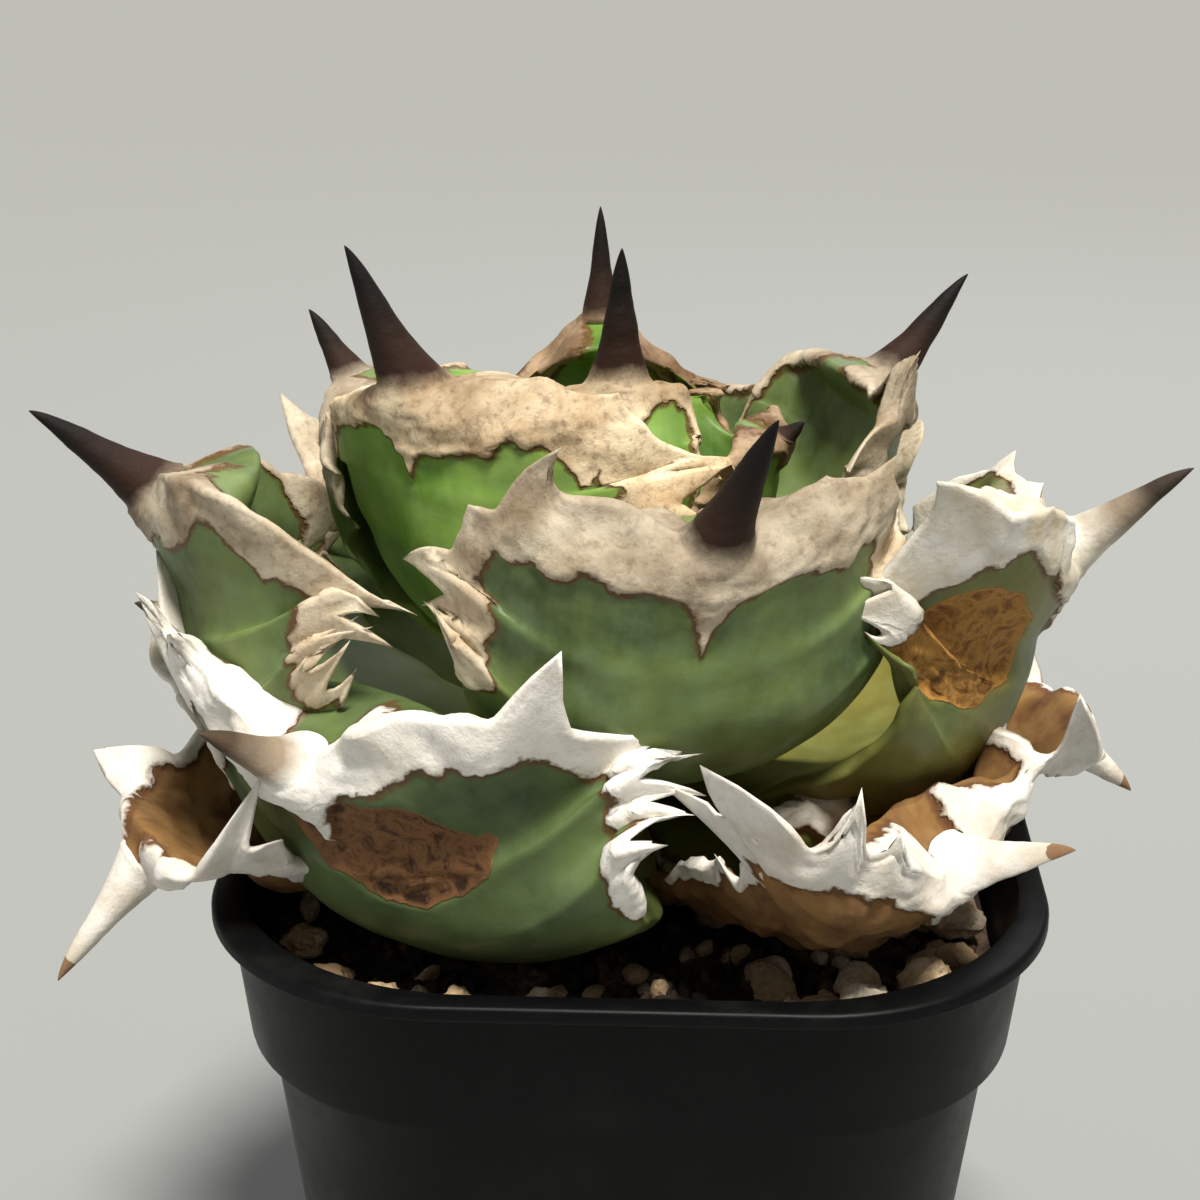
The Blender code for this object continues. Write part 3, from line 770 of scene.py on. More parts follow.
        gap, near, way = self._nearest(flat[:, :n + 1], q, margin)
        gap, near, way = gap[:, pick], near[:, pick], way[:, pick]
        push, hooked = self._teeth(u, gap, near, way, q)
        edge_turn = (width / wrap)[:, None, None]
        edge_way = side * np.cos(edge_turn) * np.sign(u)[..., None] + inward[:, None] * np.sin(edge_turn)
        points = (points + edge_way * push[..., :1] + forward[:, None] * push[..., 1:2]
                  + inward[:, None] * push[..., 2:])
        horn = self._horn_field(flat, u, upper, gap, way, q, blade)
        scar = self._scar_field(flat, upper, blade)
        points = self._raise_skin(points, flat, horn, scar, gap, u, q, inward, hooked)
        zones = np.stack([horn, scar, np.zeros_like(horn)], axis=2)
        where = np.stack([np.tile(q[:, None] / 2, (1, u.shape[1])), np.abs(u),
                          np.tile(upper.astype(float), (len(q), 1))], axis=2)
        return points, zones, where, flat

    def _nearest(self, flat: np.ndarray, q: np.ndarray, margin: Tuple[np.ndarray, ...]) \
            -> Tuple[np.ndarray, np.ndarray, np.ndarray]:
        """Find the margin's nearest spot for each point of half a face.

        Args:
            flat: The points, laid flat.
            q: The rows' shares along the leaf.
            margin: The margin laid flat.

        Returns:
            The gap to the margin, the normal there and the way from the spine's foot.
        """
        _, line, normal, way = margin
        rows, columns = flat.shape[:2]
        gap = np.zeros((rows, columns))
        index = np.zeros((rows, columns), dtype=int)
        for row in range(rows):
            off = np.linalg.norm(flat[row, :, None] - line[None], axis=2)
            index[row] = off.argmin(axis=1)
            gap[row] = off.min(axis=1)
        blade_rows = q <= 1
        shares = np.linspace(0, 1, len(line))
        own = np.interp(q, shares, np.arange(len(line))).round().astype(int)
        own = np.clip(own, 0, len(line) - 1)
        index[blade_rows, -1] = own[blade_rows]
        gap[blade_rows, -1] = 0
        reach = way[index]
        reach[blade_rows, -1] = np.interp(q[blade_rows], shares, way)
        return gap, normal[index], reach

    def _teeth(self, u: np.ndarray, gap: np.ndarray, near: np.ndarray, way: np.ndarray,
               q: np.ndarray) -> Tuple[np.ndarray, np.ndarray]:
        """Pull the teeth out of the margin.

        Args:
            u: Each point's place across, from -1 to 1.
            gap: Its gap to the margin.
            near: The margin's normal beside it.
            way: The way along the margin from the spine's foot.
            q: The rows' shares along the leaf.

        Returns:
            How far each point moves, and how much of a tooth it is.
        """
        push = np.zeros(u.shape + (3,))
        hooked = np.zeros(u.shape)
        on_blade = (q <= 1.0)[:, None]
        for side, teeth in ((u > 0, self.right), (u < 0, self.left)):
            for tooth in teeth:
                depth = 1.5 + 0.45 * tooth.height
                strength = np.clip(1 - np.abs(way - tooth.place) / tooth.reach, 0, 1) ** 1.75
                strength = strength * np.clip(1 - gap / depth, 0, 1) ** 1.3 * side * on_blade
                push[..., 0] += tooth.height * strength * near[..., 0]
                push[..., 1] += tooth.height * strength * near[..., 1]
                push[..., 0] += tooth.lean * strength ** 2 * -near[..., 1]
                push[..., 1] += tooth.lean * strength ** 2 * np.abs(near[..., 0])
                push[..., 2] += tooth.curl * strength ** 2
                hooked = np.maximum(hooked, strength)
        return push, hooked

    def _horn_field(self, flat: np.ndarray, u: np.ndarray, upper: np.ndarray, gap: np.ndarray,
                    way: np.ndarray, q: np.ndarray, blade: float) -> np.ndarray:
        """Mark the horn: a lumpy band along the margin that runs down below the spine.

        Args:
            flat: The points, laid flat.
            u: Their places across, from -1 to 1.
            upper: Which columns are on the upper face.
            gap: Their gaps to the margin.
            way: The way along the margin from the spine's foot.
            q: The rows' shares along the leaf.
            blade: The blade's length.

        Returns:
            How far inside the horn each point lies, in millimetres; negative on the skin.
        """
        seed = self._seed()
        line = np.stack([way.ravel() / 5.5, (np.sign(u) * 3 + seed).ravel(),
                         np.tile(upper * 4.0, (len(q), 1)).ravel()], axis=1)
        lumps = lattice_noise(line, seed).reshape(u.shape)
        fine = lattice_noise(line * np.array([2.6, 1, 1]), seed + 1).reshape(u.shape)
        band = self.band * (1 + 0.32 * lumps + 0.16 * fine)
        for side, teeth in ((u > 0, self.right), (u < 0, self.left)):
            for tooth in teeth:
                off = np.clip(1 - np.abs(way - tooth.place) / (tooth.reach * 1.2), 0, 1)
                band = band + 0.12 * tooth.height * off * side
        band = band * (1 - 0.4 * smooth_step(18, 42, way))
        past = smooth_step(self.horn_reach - 10, self.horn_reach, way)
        band = np.where(upper, band * 0.5, band) * (1 - past)
        inside = band - gap - 2.0 * past
        fall = np.clip((flat[..., 1] - (blade - self.vee_drop)) / self.vee_drop, 0, 1)
        below = np.clip((blade - self.vee_drop - flat[..., 1]) / 1.5 + 0.4, 0, 1)
        vee = self.vee_width * fall ** 1.3 - np.abs(flat[..., 0]) - 0.4 - 4.0 * below
        soft = 1.2
        blended = np.maximum(inside, vee) + soft * np.exp(-np.abs(inside - vee) / soft) * 0.35
        inside = np.where(upper, inside, blended)
        return np.where(q[:, None] > 1.0, np.maximum(inside, FULL_HORN), inside)

    def _scar_field(self, flat: np.ndarray, upper: np.ndarray, blade: float) -> np.ndarray:
        """Mark the scar.

        Args:
            flat: The points, laid flat.
            upper: Which columns are on the upper face.
            blade: The blade's length.

        Returns:
            How far inside the scar each point lies, in millimetres; negative outside.
        """
        if self.scar is None:
            return np.full(flat.shape[:2], OUTSIDE)
        scar = self.scar
        spots = np.stack([flat[..., 0].ravel() / 3.5, flat[..., 1].ravel() / 3.5,
                          np.zeros(flat[..., 0].size)], axis=1)
        wander = lattice_noise(spots, 3).reshape(flat.shape[:2])
        reach = 1 - np.hypot((flat[..., 0] - scar.across) / scar.half_across,
                             (flat[..., 1] - blade + scar.drop) / scar.half_drop)
        inside = reach * min(scar.half_across, scar.half_drop) + 1.1 * wander
        return np.where(upper, OUTSIDE, inside)

    def _raise_skin(self, points: np.ndarray, flat: np.ndarray, horn: np.ndarray, scar: np.ndarray,
                    gap: np.ndarray, u: np.ndarray, q: np.ndarray, inward: np.ndarray,
                    hooked: np.ndarray) -> np.ndarray:
        """Stand the horn proud of the skin, and add the leaf's lumps, wrinkles and crumples.

        Args:
            points: The leaf's points.
            flat: The same points, laid flat.
            horn: How far inside the horn they lie.
            scar: How far inside the scar they lie.
            gap: Their gaps to the margin.
            u: Their places across, from -1 to 1.
            q: The rows' shares along the leaf.
            inward: The way towards the bud, for each row.
            hooked: How much of a tooth each point is.

        Returns:
            The finished points.
        """
        seed = self._seed()
        down = np.gradient(points, axis=0)
        round_way = np.roll(points, -1, axis=1) - np.roll(points, 1, axis=1)
        normal = np.cross(down, round_way)
        normal = normal / np.maximum(np.linalg.norm(normal, axis=2, keepdims=True), 1e-9)
        if float(np.sum(normal * (points - points.mean(axis=1, keepdims=True)))) < 0:
            normal = -normal
        shape = horn.shape
        spots = np.concatenate([flat.reshape(-1, 2), np.zeros((horn.size, 1))], axis=1)
        on_horn = smooth_step(-0.35, 0.35, horn)
        on_scar = smooth_step(-0.2, 1.0, scar) * (1 - on_horn)
        fade = np.clip(2.0 - q, 0, 1)[:, None]
        lumps = lattice_noise(spots / 10.0, seed).reshape(shape) * 0.45
        lumps = lumps + lattice_noise(spots / 4.0, seed + 1).reshape(shape) * 0.12
        knobs = lattice_noise(spots / 2.6, seed + 2).reshape(shape)
        wrinkled = lattice_noise(spots / np.array([1.5, 0.9, 1.0]), seed + 3).reshape(shape)
        proud = (self.horn_rise + 0.32 * knobs + 0.14 * wrinkled) * (1 - 0.85 * np.clip(hooked * 1.3, 0, 1))
        calm = 1 - 0.75 * smooth_step(0.97, 1.05, q)[:, None]
        rise = on_horn * proud * calm * np.clip(fade * 2.2, 0, 1) + (1 - on_horn) * lumps
        stretched = spots / np.array([4.5, 1.6, 1.0]) + 0.5 * wrinkled.reshape(-1, 1)
        folds = 1 - 2 * np.abs(lattice_noise(stretched, seed + 4))
        depth = self.scar.depth if self.scar else 0.0
        rise = rise + on_scar * (folds.reshape(shape) * 0.45 - depth)
        points = points + normal * rise[..., None]
        if self.crumple:
            sheet = np.stack([spots[:, 0] / 6.5, spots[:, 1] / 5.0, np.zeros(len(spots))], axis=1)
            creases = 1 - 2 * np.abs(lattice_noise(sheet, seed + 6))
            creases = creases + 0.5 * (1 - 2 * np.abs(lattice_noise(sheet * 2.3, seed + 7)))
            calm = np.clip(1.08 - q, 0, 1) ** 0.5
            crease = creases.reshape(shape) * self.crumple * calm[:, None]
            points = points + inward[:, None] * crease[..., None]
        edge = np.clip(1 - gap / 5.0, 0, 1) * (q <= 1.0)[:, None]
        ripple = np.stack([flat[..., 1].ravel() / 4.2, (np.sign(u) * 9.0 + flat[..., 0] / 4.2).ravel(),
                           np.zeros(u.size)], axis=1)
        flutter = lattice_noise(ripple, seed + 8).reshape(shape)
        return points + inward[:, None] * (flutter * edge * self.wave)[..., None]

    def build(self, root: np.ndarray, turn: float, material: bpy.types.Material) -> bpy.types.Object:
        """Make the leaf's mesh in its place.

        Args:
            root: The plant's axis at the rim's height, in metres.
            turn: How far the plant is turned, in degrees.
            material: The leaf's finish.

        Returns:
            The leaf.
        """
        points, zones, where, flat = self.grid()
        azimuth = math.radians(self.azimuth + turn)
        axes = np.array([[math.sin(azimuth), -math.cos(azimuth), 0.0],
                         [math.cos(azimuth), math.sin(azimuth), 0.0], [0.0, 0.0, 1.0]])
        rows, ring = points.shape[:2]
        vertices = root + (points.reshape(-1, 3) @ axes) * MM
        ends = np.stack([vertices[:ring].mean(axis=0), vertices[-ring:].mean(axis=0)])
        vertices = np.vstack([vertices, ends])
        a = (np.arange(rows - 1)[:, None] * ring + np.arange(ring)[None]).ravel()
        b = (np.arange(rows - 1)[:, None] * ring + (np.arange(ring)[None] + 1) % ring).ravel()
        faces = np.stack([a, b, b + ring, a + ring], axis=1).tolist()
        last = (rows - 1) * ring
        foot, tip = rows * ring, rows * ring + 1
        faces += [[foot, (k + 1) % ring, k] for k in range(ring)]
        faces += [[tip, last + k, last + (k + 1) % ring] for k in range(ring)]
        leaf = place_mesh(self.name + "_skin", vertices.tolist(), faces, material)
        self._paint(leaf.data, zones, where, flat)
        tidy = bmesh.new()
        tidy.from_mesh(leaf.data)
        bmesh.ops.recalc_face_normals(tidy, faces=tidy.faces)
        tidy.to_mesh(leaf.data)
        tidy.free()
        return leaf

    def _paint(self, mesh: bpy.types.Mesh, zones: np.ndarray, where: np.ndarray, flat: np.ndarray) -> None:
        """Store the zones and the leaf's own coordinates on the mesh.

        Args:
            mesh: The leaf's mesh.
            zones: How far inside horn and scar each point lies.
            where: Share along, place across and face of each point.
            flat: The points, laid flat.
        """
        for name, values, ends in (("zones", zones, ((OUTSIDE, OUTSIDE, 0.0), (FULL_HORN, OUTSIDE, 0.0))),
                                   ("where", where, ((0.0, 0.0, 0.0), (1.0, 0.0, 0.0)))):
            layer = mesh.attributes.new(name, "FLOAT_VECTOR", "POINT")
            data = np.vstack([values.reshape(-1, 3), np.array(ends)]).astype(np.float32)
            layer.data.foreach_set("vector", data.ravel())
        uv = mesh.uv_layers.new(name="leaf")
        loops = np.zeros(len(mesh.loops), dtype=np.int64)
        mesh.loops.foreach_get("vertex_index", loops)
        spots = np.vstack([flat.reshape(-1, 2), flat[0].mean(axis=0), flat[-1].mean(axis=0)]) * MM
        uv.data.foreach_set("uv", spots[loops].astype(np.float32).ravel())


LEAVES: Tuple[Leaf, ...] = (
    Leaf("leaf_bud", azimuth=8, age=LeafAge.YOUNG,
         rib=((0, 27), (6, 31), (9.5, 39), (8.5, 45), (5, 49.5), (3.6, 56), (3.2, 66)),
         neck=4, half_width=10, wrap_radius=9, thickness=9, spine_radius=3.4, shoulder=2, band=1.5,
         web=2, vee_drop=9, vee_width=5),
    Leaf("leaf_back_inner", azimuth=185, age=LeafAge.SHADED,
         rib=((1, 23), (11, 26), (19, 33), (22.5, 44), (22, 51), (21.5, 57.5), (21, 65.5)),
         neck=4, half_width=18, wrap_radius=18, thickness=6, spine_radius=2.2, shoulder=-7, band=1.4,
         web=2, vee_drop=7, vee_width=3,
         left=(Tooth(14, 4, 3, -2), Tooth(21, 2, 2.5)),
         right=(Tooth(14, 2, 2.5), Tooth(21, 2, 2.5))),
    Leaf("leaf_right_inner", azimuth=72, age=LeafAge.SHADED,
         rib=((1, 21), (10, 26), (16, 33), (18, 39), (18.5, 43), (21, 48)),
         neck=4, half_width=13, wrap_radius=14, thickness=5, spine_radius=1.3, shoulder=1, band=1.0,
         web=3, vee_drop=5, vee_width=2),
    Leaf("leaf_left_inner", azimuth=-40, age=LeafAge.YOUNG,
         rib=((1, 18), (13, 21), (23, 27), (28, 36, -1), (28.8, 44, -2.5), (28.7, 48, -3.5),
              (29.6, 58, -6.5), (31, 69.5, -9.5)),
         neck=5, half_width=27, wrap_radius=26, thickness=8, spine_radius=3.7, shoulder=4,
         left_share=-0.9, band=6.0, horn_reach=50, web=7, vee_drop=10, vee_width=6,
         right=(Tooth(27, 7, 4, -3), Tooth(34, 5, 3, -2, 2), Tooth(41, 3, 3, 0, 2), Tooth(19, 1.5, 3))),
    Leaf("leaf_right_upper", azimuth=108, age=LeafAge.MATURE,
         rib=((2, 16), (15, 18), (24, 24), (29.5, 32), (31.5, 39), (32.5, 43), (36, 50), (41.5, 59.5)),
         neck=5, half_width=19, wrap_radius=16, thickness=7, spine_radius=2.9, shoulder=1, band=3.2,
         horn_reach=34, web=5, wave=1.1,
         left=(Tooth(9, 7, 3.2, -2, -1), Tooth(17, 4, 3.5, -3, -2), Tooth(25, 3, 3, 0, -2))),
    Leaf("leaf_left_upper", azimuth=-110, age=LeafAge.MATURE,
         rib=((2, 15), (15, 18), (25, 24), (31, 31), (33, 39), (33.5, 44), (34.5, 49), (37, 55.5)),
         neck=5, half_width=18, wrap_radius=22, thickness=6, spine_radius=2.2, shoulder=0, band=2.2,
         horn_reach=27, web=4, wave=1.2,
         right=(Tooth(11, 2.5, 2.2), Tooth(17, 3, 2.2), Tooth(23, 3, 2.5))),
    Leaf("leaf_front_upper", azimuth=11, age=LeafAge.MATURE,
         rib=((3, 12), (17, 12.5), (30, 16), (38.5, 23), (41.3, 31.5), (41.8, 37), (43.5, 47, 2),
              (48, 60, 5)),
         neck=5, half_width=26, wrap_radius=27, thickness=10, spine_radius=3.6, shoulder=8, band=6.2,
         horn_reach=52, web=8, vee_drop=11, vee_width=5,
         left=(Tooth(14.5, 6, 4, 4), Tooth(21, 1.5, 2.5), Tooth(29, 7, 4.2, -3, 1),
               Tooth(34, 5, 2.4, -3, 2), Tooth(38, 5, 2.4, -1, 2), Tooth(42, 4, 2.4, 1, 2)),
         right=(Tooth(9, 1.5, 3), Tooth(17, 3, 3.2, -2), Tooth(26, 2.5, 2.5))),
    Leaf("leaf_back_upper", azimuth=150, age=LeafAge.MATURE,
         rib=((3, 10), (17, 8.5), (30, 10), (38, 16), (41, 24), (42, 28), (46, 31), (52, 34)),
         neck=5, half_width=21, wrap_radius=28, thickness=8, spine_radius=3.0,
         left=(Tooth(18, 5, 3.5), Tooth(27, 4, 3)),
         right=(Tooth(16, 5, 3.5), Tooth(25, 3, 3))),
    Leaf("leaf_left", azimuth=-80, age=LeafAge.MATURE,
         rib=((4, 7), (19, 4.5), (35, 7), (46, 16), (49.5, 26), (49.5, 33), (54, 41), (62.5, 50.5)),
         neck=5, half_width=30, wrap_radius=24, thickness=9, spine_radius=3.6, shoulder=8,
         left_share=-0.3, band=4.5, web=7, vee_drop=9,
         left=(Tooth(26, 7, 3, -5), Tooth(33, 4, 3)),
         right=(Tooth(28, 8, 3.2, -4), Tooth(33, 5, 2.8, -3), Tooth(37, 6, 2.8, -3, 1),
                Tooth(42, 5, 2.6, 0, 2), Tooth(46, 6, 2.6, -2, 2), Tooth(51, 5, 2.6, 1, 2),
                Tooth(56, 4, 2.5, 1, 1))),
    Leaf("leaf_right", azimuth=76, age=LeafAge.YELLOWING,
         rib=((4, 5), (19, 3.5), (32, 5), (42, 11), (46.5, 21), (47.5, 27), (52.5, 35), (61.5, 45.5)),
         neck=5, half_width=31, wrap_radius=25, thickness=8, spine_radius=3.6, shoulder=13,
         right_share=0.2, band=4.5, horn_reach=48, web=7, vee_drop=9, vee_width=5,
         scar=Scar(-20, 6, 10, 6.5),
         left=(Tooth(26, 7, 3.6, -4, -1), Tooth(32, 6, 3, -3, -1), Tooth(37, 5, 2.8, -1),
               Tooth(43, 4, 3, 1), Tooth(15, 1, 2.5)),
         right=(Tooth(12, 2, 2.5), Tooth(20, 3, 3), Tooth(29, 3, 3))),
    Leaf("leaf_back_left", azimuth=-148, age=LeafAge.MATURE,
         rib=((4, 5), (19, 4), (33, 7), (42, 14), (45.5, 22), (46.5, 26), (51, 31), (57, 36)),
         neck=5, half_width=21, wrap_radius=30, thickness=8, spine_radius=3.0,
         left=(Tooth(16, 6, 4), Tooth(26, 4, 3)),
         right=(Tooth(14, 6, 3.5), Tooth(23, 4, 3))),
    Leaf("leaf_front_lower", azimuth=-33, age=LeafAge.OLD,
         rib=((4, 1), (19, -4), (32, -4.5), (41, 1, -1), (44.5, 8.5, -3), (45.3, 13.5, -5),
              (48.5, 19, -10), (53, 25, -15)),
         neck=5, half_width=30, wrap_radius=33, thickness=11, spine_radius=3.6, shoulder=11,
         right_share=1.1, band=4.2, web=7, vee_drop=9, vee_width=5, scar=Scar(6, 7.5, 11, 6.5),
         left=(Tooth(15, 6, 3, 3), Tooth(20, 9, 3, 4), Tooth(26, 9, 3, 4), Tooth(32, 7, 2.8, 3),
               Tooth(38, 5, 3)),
         right=(Tooth(23.5, 9, 3, -1.5), Tooth(28.5, 5.5, 2.2, -3.5, 1), Tooth(32, 7.5, 2.2, -4, 1),
                Tooth(35.5, 7, 2.2, -3.5, 1), Tooth(39.5, 7, 2.4, -3), Tooth(45, 4.5, 2.4, -2))),
    Leaf("leaf_back_lower", azimuth=170, age=LeafAge.OLD,
         rib=((4, 1), (19, -1.5), (33, 1), (43, 7), (47, 14), (48, 18), (52, 23), (59, 28)),
         neck=5, half_width=21, wrap_radius=30, thickness=8, spine_radius=3.0,
         left=(Tooth(16, 5, 3.5),),
         right=(Tooth(14, 5, 3.5), Tooth(24, 4, 3))),
    Leaf("leaf_front_right", azimuth=44, age=LeafAge.YELLOWING,
         rib=((4, 0), (17, -1), (26, 0), (31, 3), (33, 7), (33.5, 9), (35, 11), (37, 13)),
         neck=5, half_width=11, wrap_radius=24, thickness=6, spine_radius=2.0, shoulder=3, band=1, web=2),
    Leaf("leaf_back_right", azimuth=125, age=LeafAge.OLD,
         rib=((4, -3), (19, -4.5), (32, -2.5), (42, 1), (46, 6), (47, 9), (51, 11), (57, 13)),
         neck=5, half_width=17, wrap_radius=30, thickness=7, spine_radius=2.8, band=3.5,
         left=(Tooth(14, 5, 3),),
         right=(Tooth(16, 5, 3),)),
    Leaf("leaf_left_lower", azimuth=-106, age=LeafAge.YELLOWING,
         rib=((4, -3), (19, -4), (33, -2), (43, 2.5), (48, 8), (50, 11.5), (54, 15), (60, 18.5)),
         neck=5, half_width=18, wrap_radius=30, thickness=6, spine_radius=2.6, shoulder=4, band=3.5,
         left=(Tooth(14, 4, 3),)),
    Leaf("leaf_dry_front", azimuth=45, age=LeafAge.DRY,
         rib=((4, -5), (19, -4.5), (32, -4), (41, -1.5, -1), (46, 2.5, -3), (48, 5, -4), (50.5, 7, 3),
              (54, 8.5, 13)),
         neck=5, half_width=26, wrap_radius=20, thickness=3, spine_radius=3.4, shoulder=7, band=3.2,
         web=5, vee_drop=7, vee_width=4, crumple=1.2,
         left=(Tooth(8, 3, 2.5, 0, 2), Tooth(14, 7, 3, 0, 4), Tooth(21, 7, 3.2, -4, 2),
               Tooth(28, 9, 3.4, -4, 1), Tooth(36, 6, 3, 2, 3), Tooth(43, 4, 3)),
         right=(Tooth(14, 3, 3), Tooth(23, 4, 3))),
    Leaf("leaf_dry_left", azimuth=-66, age=LeafAge.DRY,
         rib=((4, -5), (20, -5.5), (36, -3), (44, 0.9), (48, 2.5), (52, 3, 1), (58, 0, 2.5),
              (66, -6.5, 3)),
         neck=5, half_width=16, wrap_radius=18, thickness=2.6, spine_radius=3.0, shoulder=2, band=3.0,
         web=3, vee_drop=6, vee_width=3.5, crumple=0.9,
         left=(Tooth(11, 6, 3), Tooth(18, 6, 3), Tooth(26, 4, 3)),
         right=(Tooth(13, 4, 2.8, -2, 8), Tooth(16, 4, 3, -2), Tooth(22, 4, 2.6))),
    Leaf("leaf_dry_right", azimuth=96, age=LeafAge.DRY,
         rib=((4, -5), (22, -5), (36, -2.5), (43, 0.9), (48, 3), (51, 3.5), (56, 1.5), (61.5, -1.5)),
         neck=5, half_width=16, wrap_radius=18, thickness=2.6, spine_radius=2.6, shoulder=2, band=3.0,
         web=3, vee_drop=6, vee_width=3.5, crumple=0.9,
         left=(Tooth(12, 5, 3, -2, 6), Tooth(19, 6, 3, -2, 2)),
         right=(Tooth(12, 5, 3),)),
    Leaf("leaf_dry_back", azimuth=-165, age=LeafAge.DRY,
         rib=((4, -5), (22, -5), (36, -2.5), (44, 1), (50, 3.5), (53, 4), (58, 2.5), (64, 1)),
         neck=5, half_width=17, wrap_radius=22, thickness=2.6, spine_radius=2.6, shoulder=2, band=3.0,
         web=3, crumple=0.9,
         left=(Tooth(14, 5, 3),),
         right=(Tooth(16, 5, 3),)),
)


@dataclass
class Rosette:
    """All the leaves and the stem that carries them."""
    rim_height: float
    offset_mm: Tuple[float, float] = (-2.1, 1.9)
    turn: float = 2.5
    leaves: Tuple[Leaf, ...] = LEAVES

    def build(self) -> List[bpy.types.Object]:
        """Make and hand over every leaf.

        Returns:
            The leaves.
        """
        finishes = {age: finish.material() for age, finish in FINISHES.items()}
        root = np.array([self.offset_mm[0] * MM, self.offset_mm[1] * MM, self.rim_height])
        pieces = []
        for leaf in self.leaves:
            piece = leaf.build(root, self.turn, finishes[leaf.age])
            hand_over(piece, [leaf.name])
            pieces.append(piece)
        return pieces


# --------------------------------------------------------------------------- pot and filling


@dataclass(frozen=True)
class PotPlastic:
    """Injection-moulded polypropylene: black, satin, scuffed and dusty from handling."""
    name: str = "moulded_polypropylene"
    body: str = "#060708"
    dust: str = "#6a6b6a"
    roughness: float = 0.34

    def material(self) -> bpy.types.Material:
        """Build the plastic's node material.

        Returns:
            The material.
        """
        material, tree, shader = new_material(self.name)
        coords = add_node(tree, "ShaderNodeTexCoord").outputs["Object"]
        haze = lumps_of(tree, coords, 14, 6.0, 0.7)
        share = ramp(tree, haze.outputs[0], ((0.5, grey(0.0)), (0.85, grey(0.06))))
        colour = blend(tree, share, linear(self.body), linear(self.dust))
        stretch = add_node(tree, "ShaderNodeMapping",
                           {"Rotation": (0.2, 0.5, 0.1), "Scale": (1.0, 1.0, 9.0)},
                           {"Vector": coords})
        lines = lumps_of(tree, stretch.outputs[0], 7, 8.0, 0.8)
        share = ramp(tree, lines.outputs[0], ((0.66, grey(0.0)), (0.72, grey(0.22))))
        colour = blend(tree, share, colour, linear(self.dust))
        tree.links.new(colour, shader.inputs["Base Color"])
        rough = ramp(tree, haze.outputs[0],
                     ((0.3, grey(self.roughness)), (0.8, grey(self.roughness + 0.25))))
        tree.links.new(rough, shader.inputs["Roughness"])
        grain = lumps_of(tree, coords, 0.5, 2.0)
        bump = add_node(tree, "ShaderNodeBump", {"Strength": 0.12, "Distance": 0.1 * MM},
                        {"Height": grain.outputs[0]})
        tree.links.new(bump.outputs[0], shader.inputs["Normal"])
        shader.inputs["IOR"].default_value = 1.49
        shader.inputs["Specular IOR Level"].default_value = 0.12
        return material


def rounded_square(half: float, radius: float, height: float, steps: int) -> List[Point]:
    """A level ring round a square with round corners.

    Args:
        half: Half the width.
        radius: Corner radius.
        height: Height of the ring.
        steps: Points along each corner.

    Returns:
        The ring's points.
    """
    ring = []
    inner = half - radius
    for quarter, (sx, sy) in enumerate(((1, 1), (-1, 1), (-1, -1), (1, -1))):
        for step in range(steps + 1):
            angle = math.pi / 2 * (quarter + step / steps)
            x = sx * inner + radius * math.cos(angle)
            y = sy * inner + radius * math.sin(angle)
            ring.append((x, y, height))
    return ring


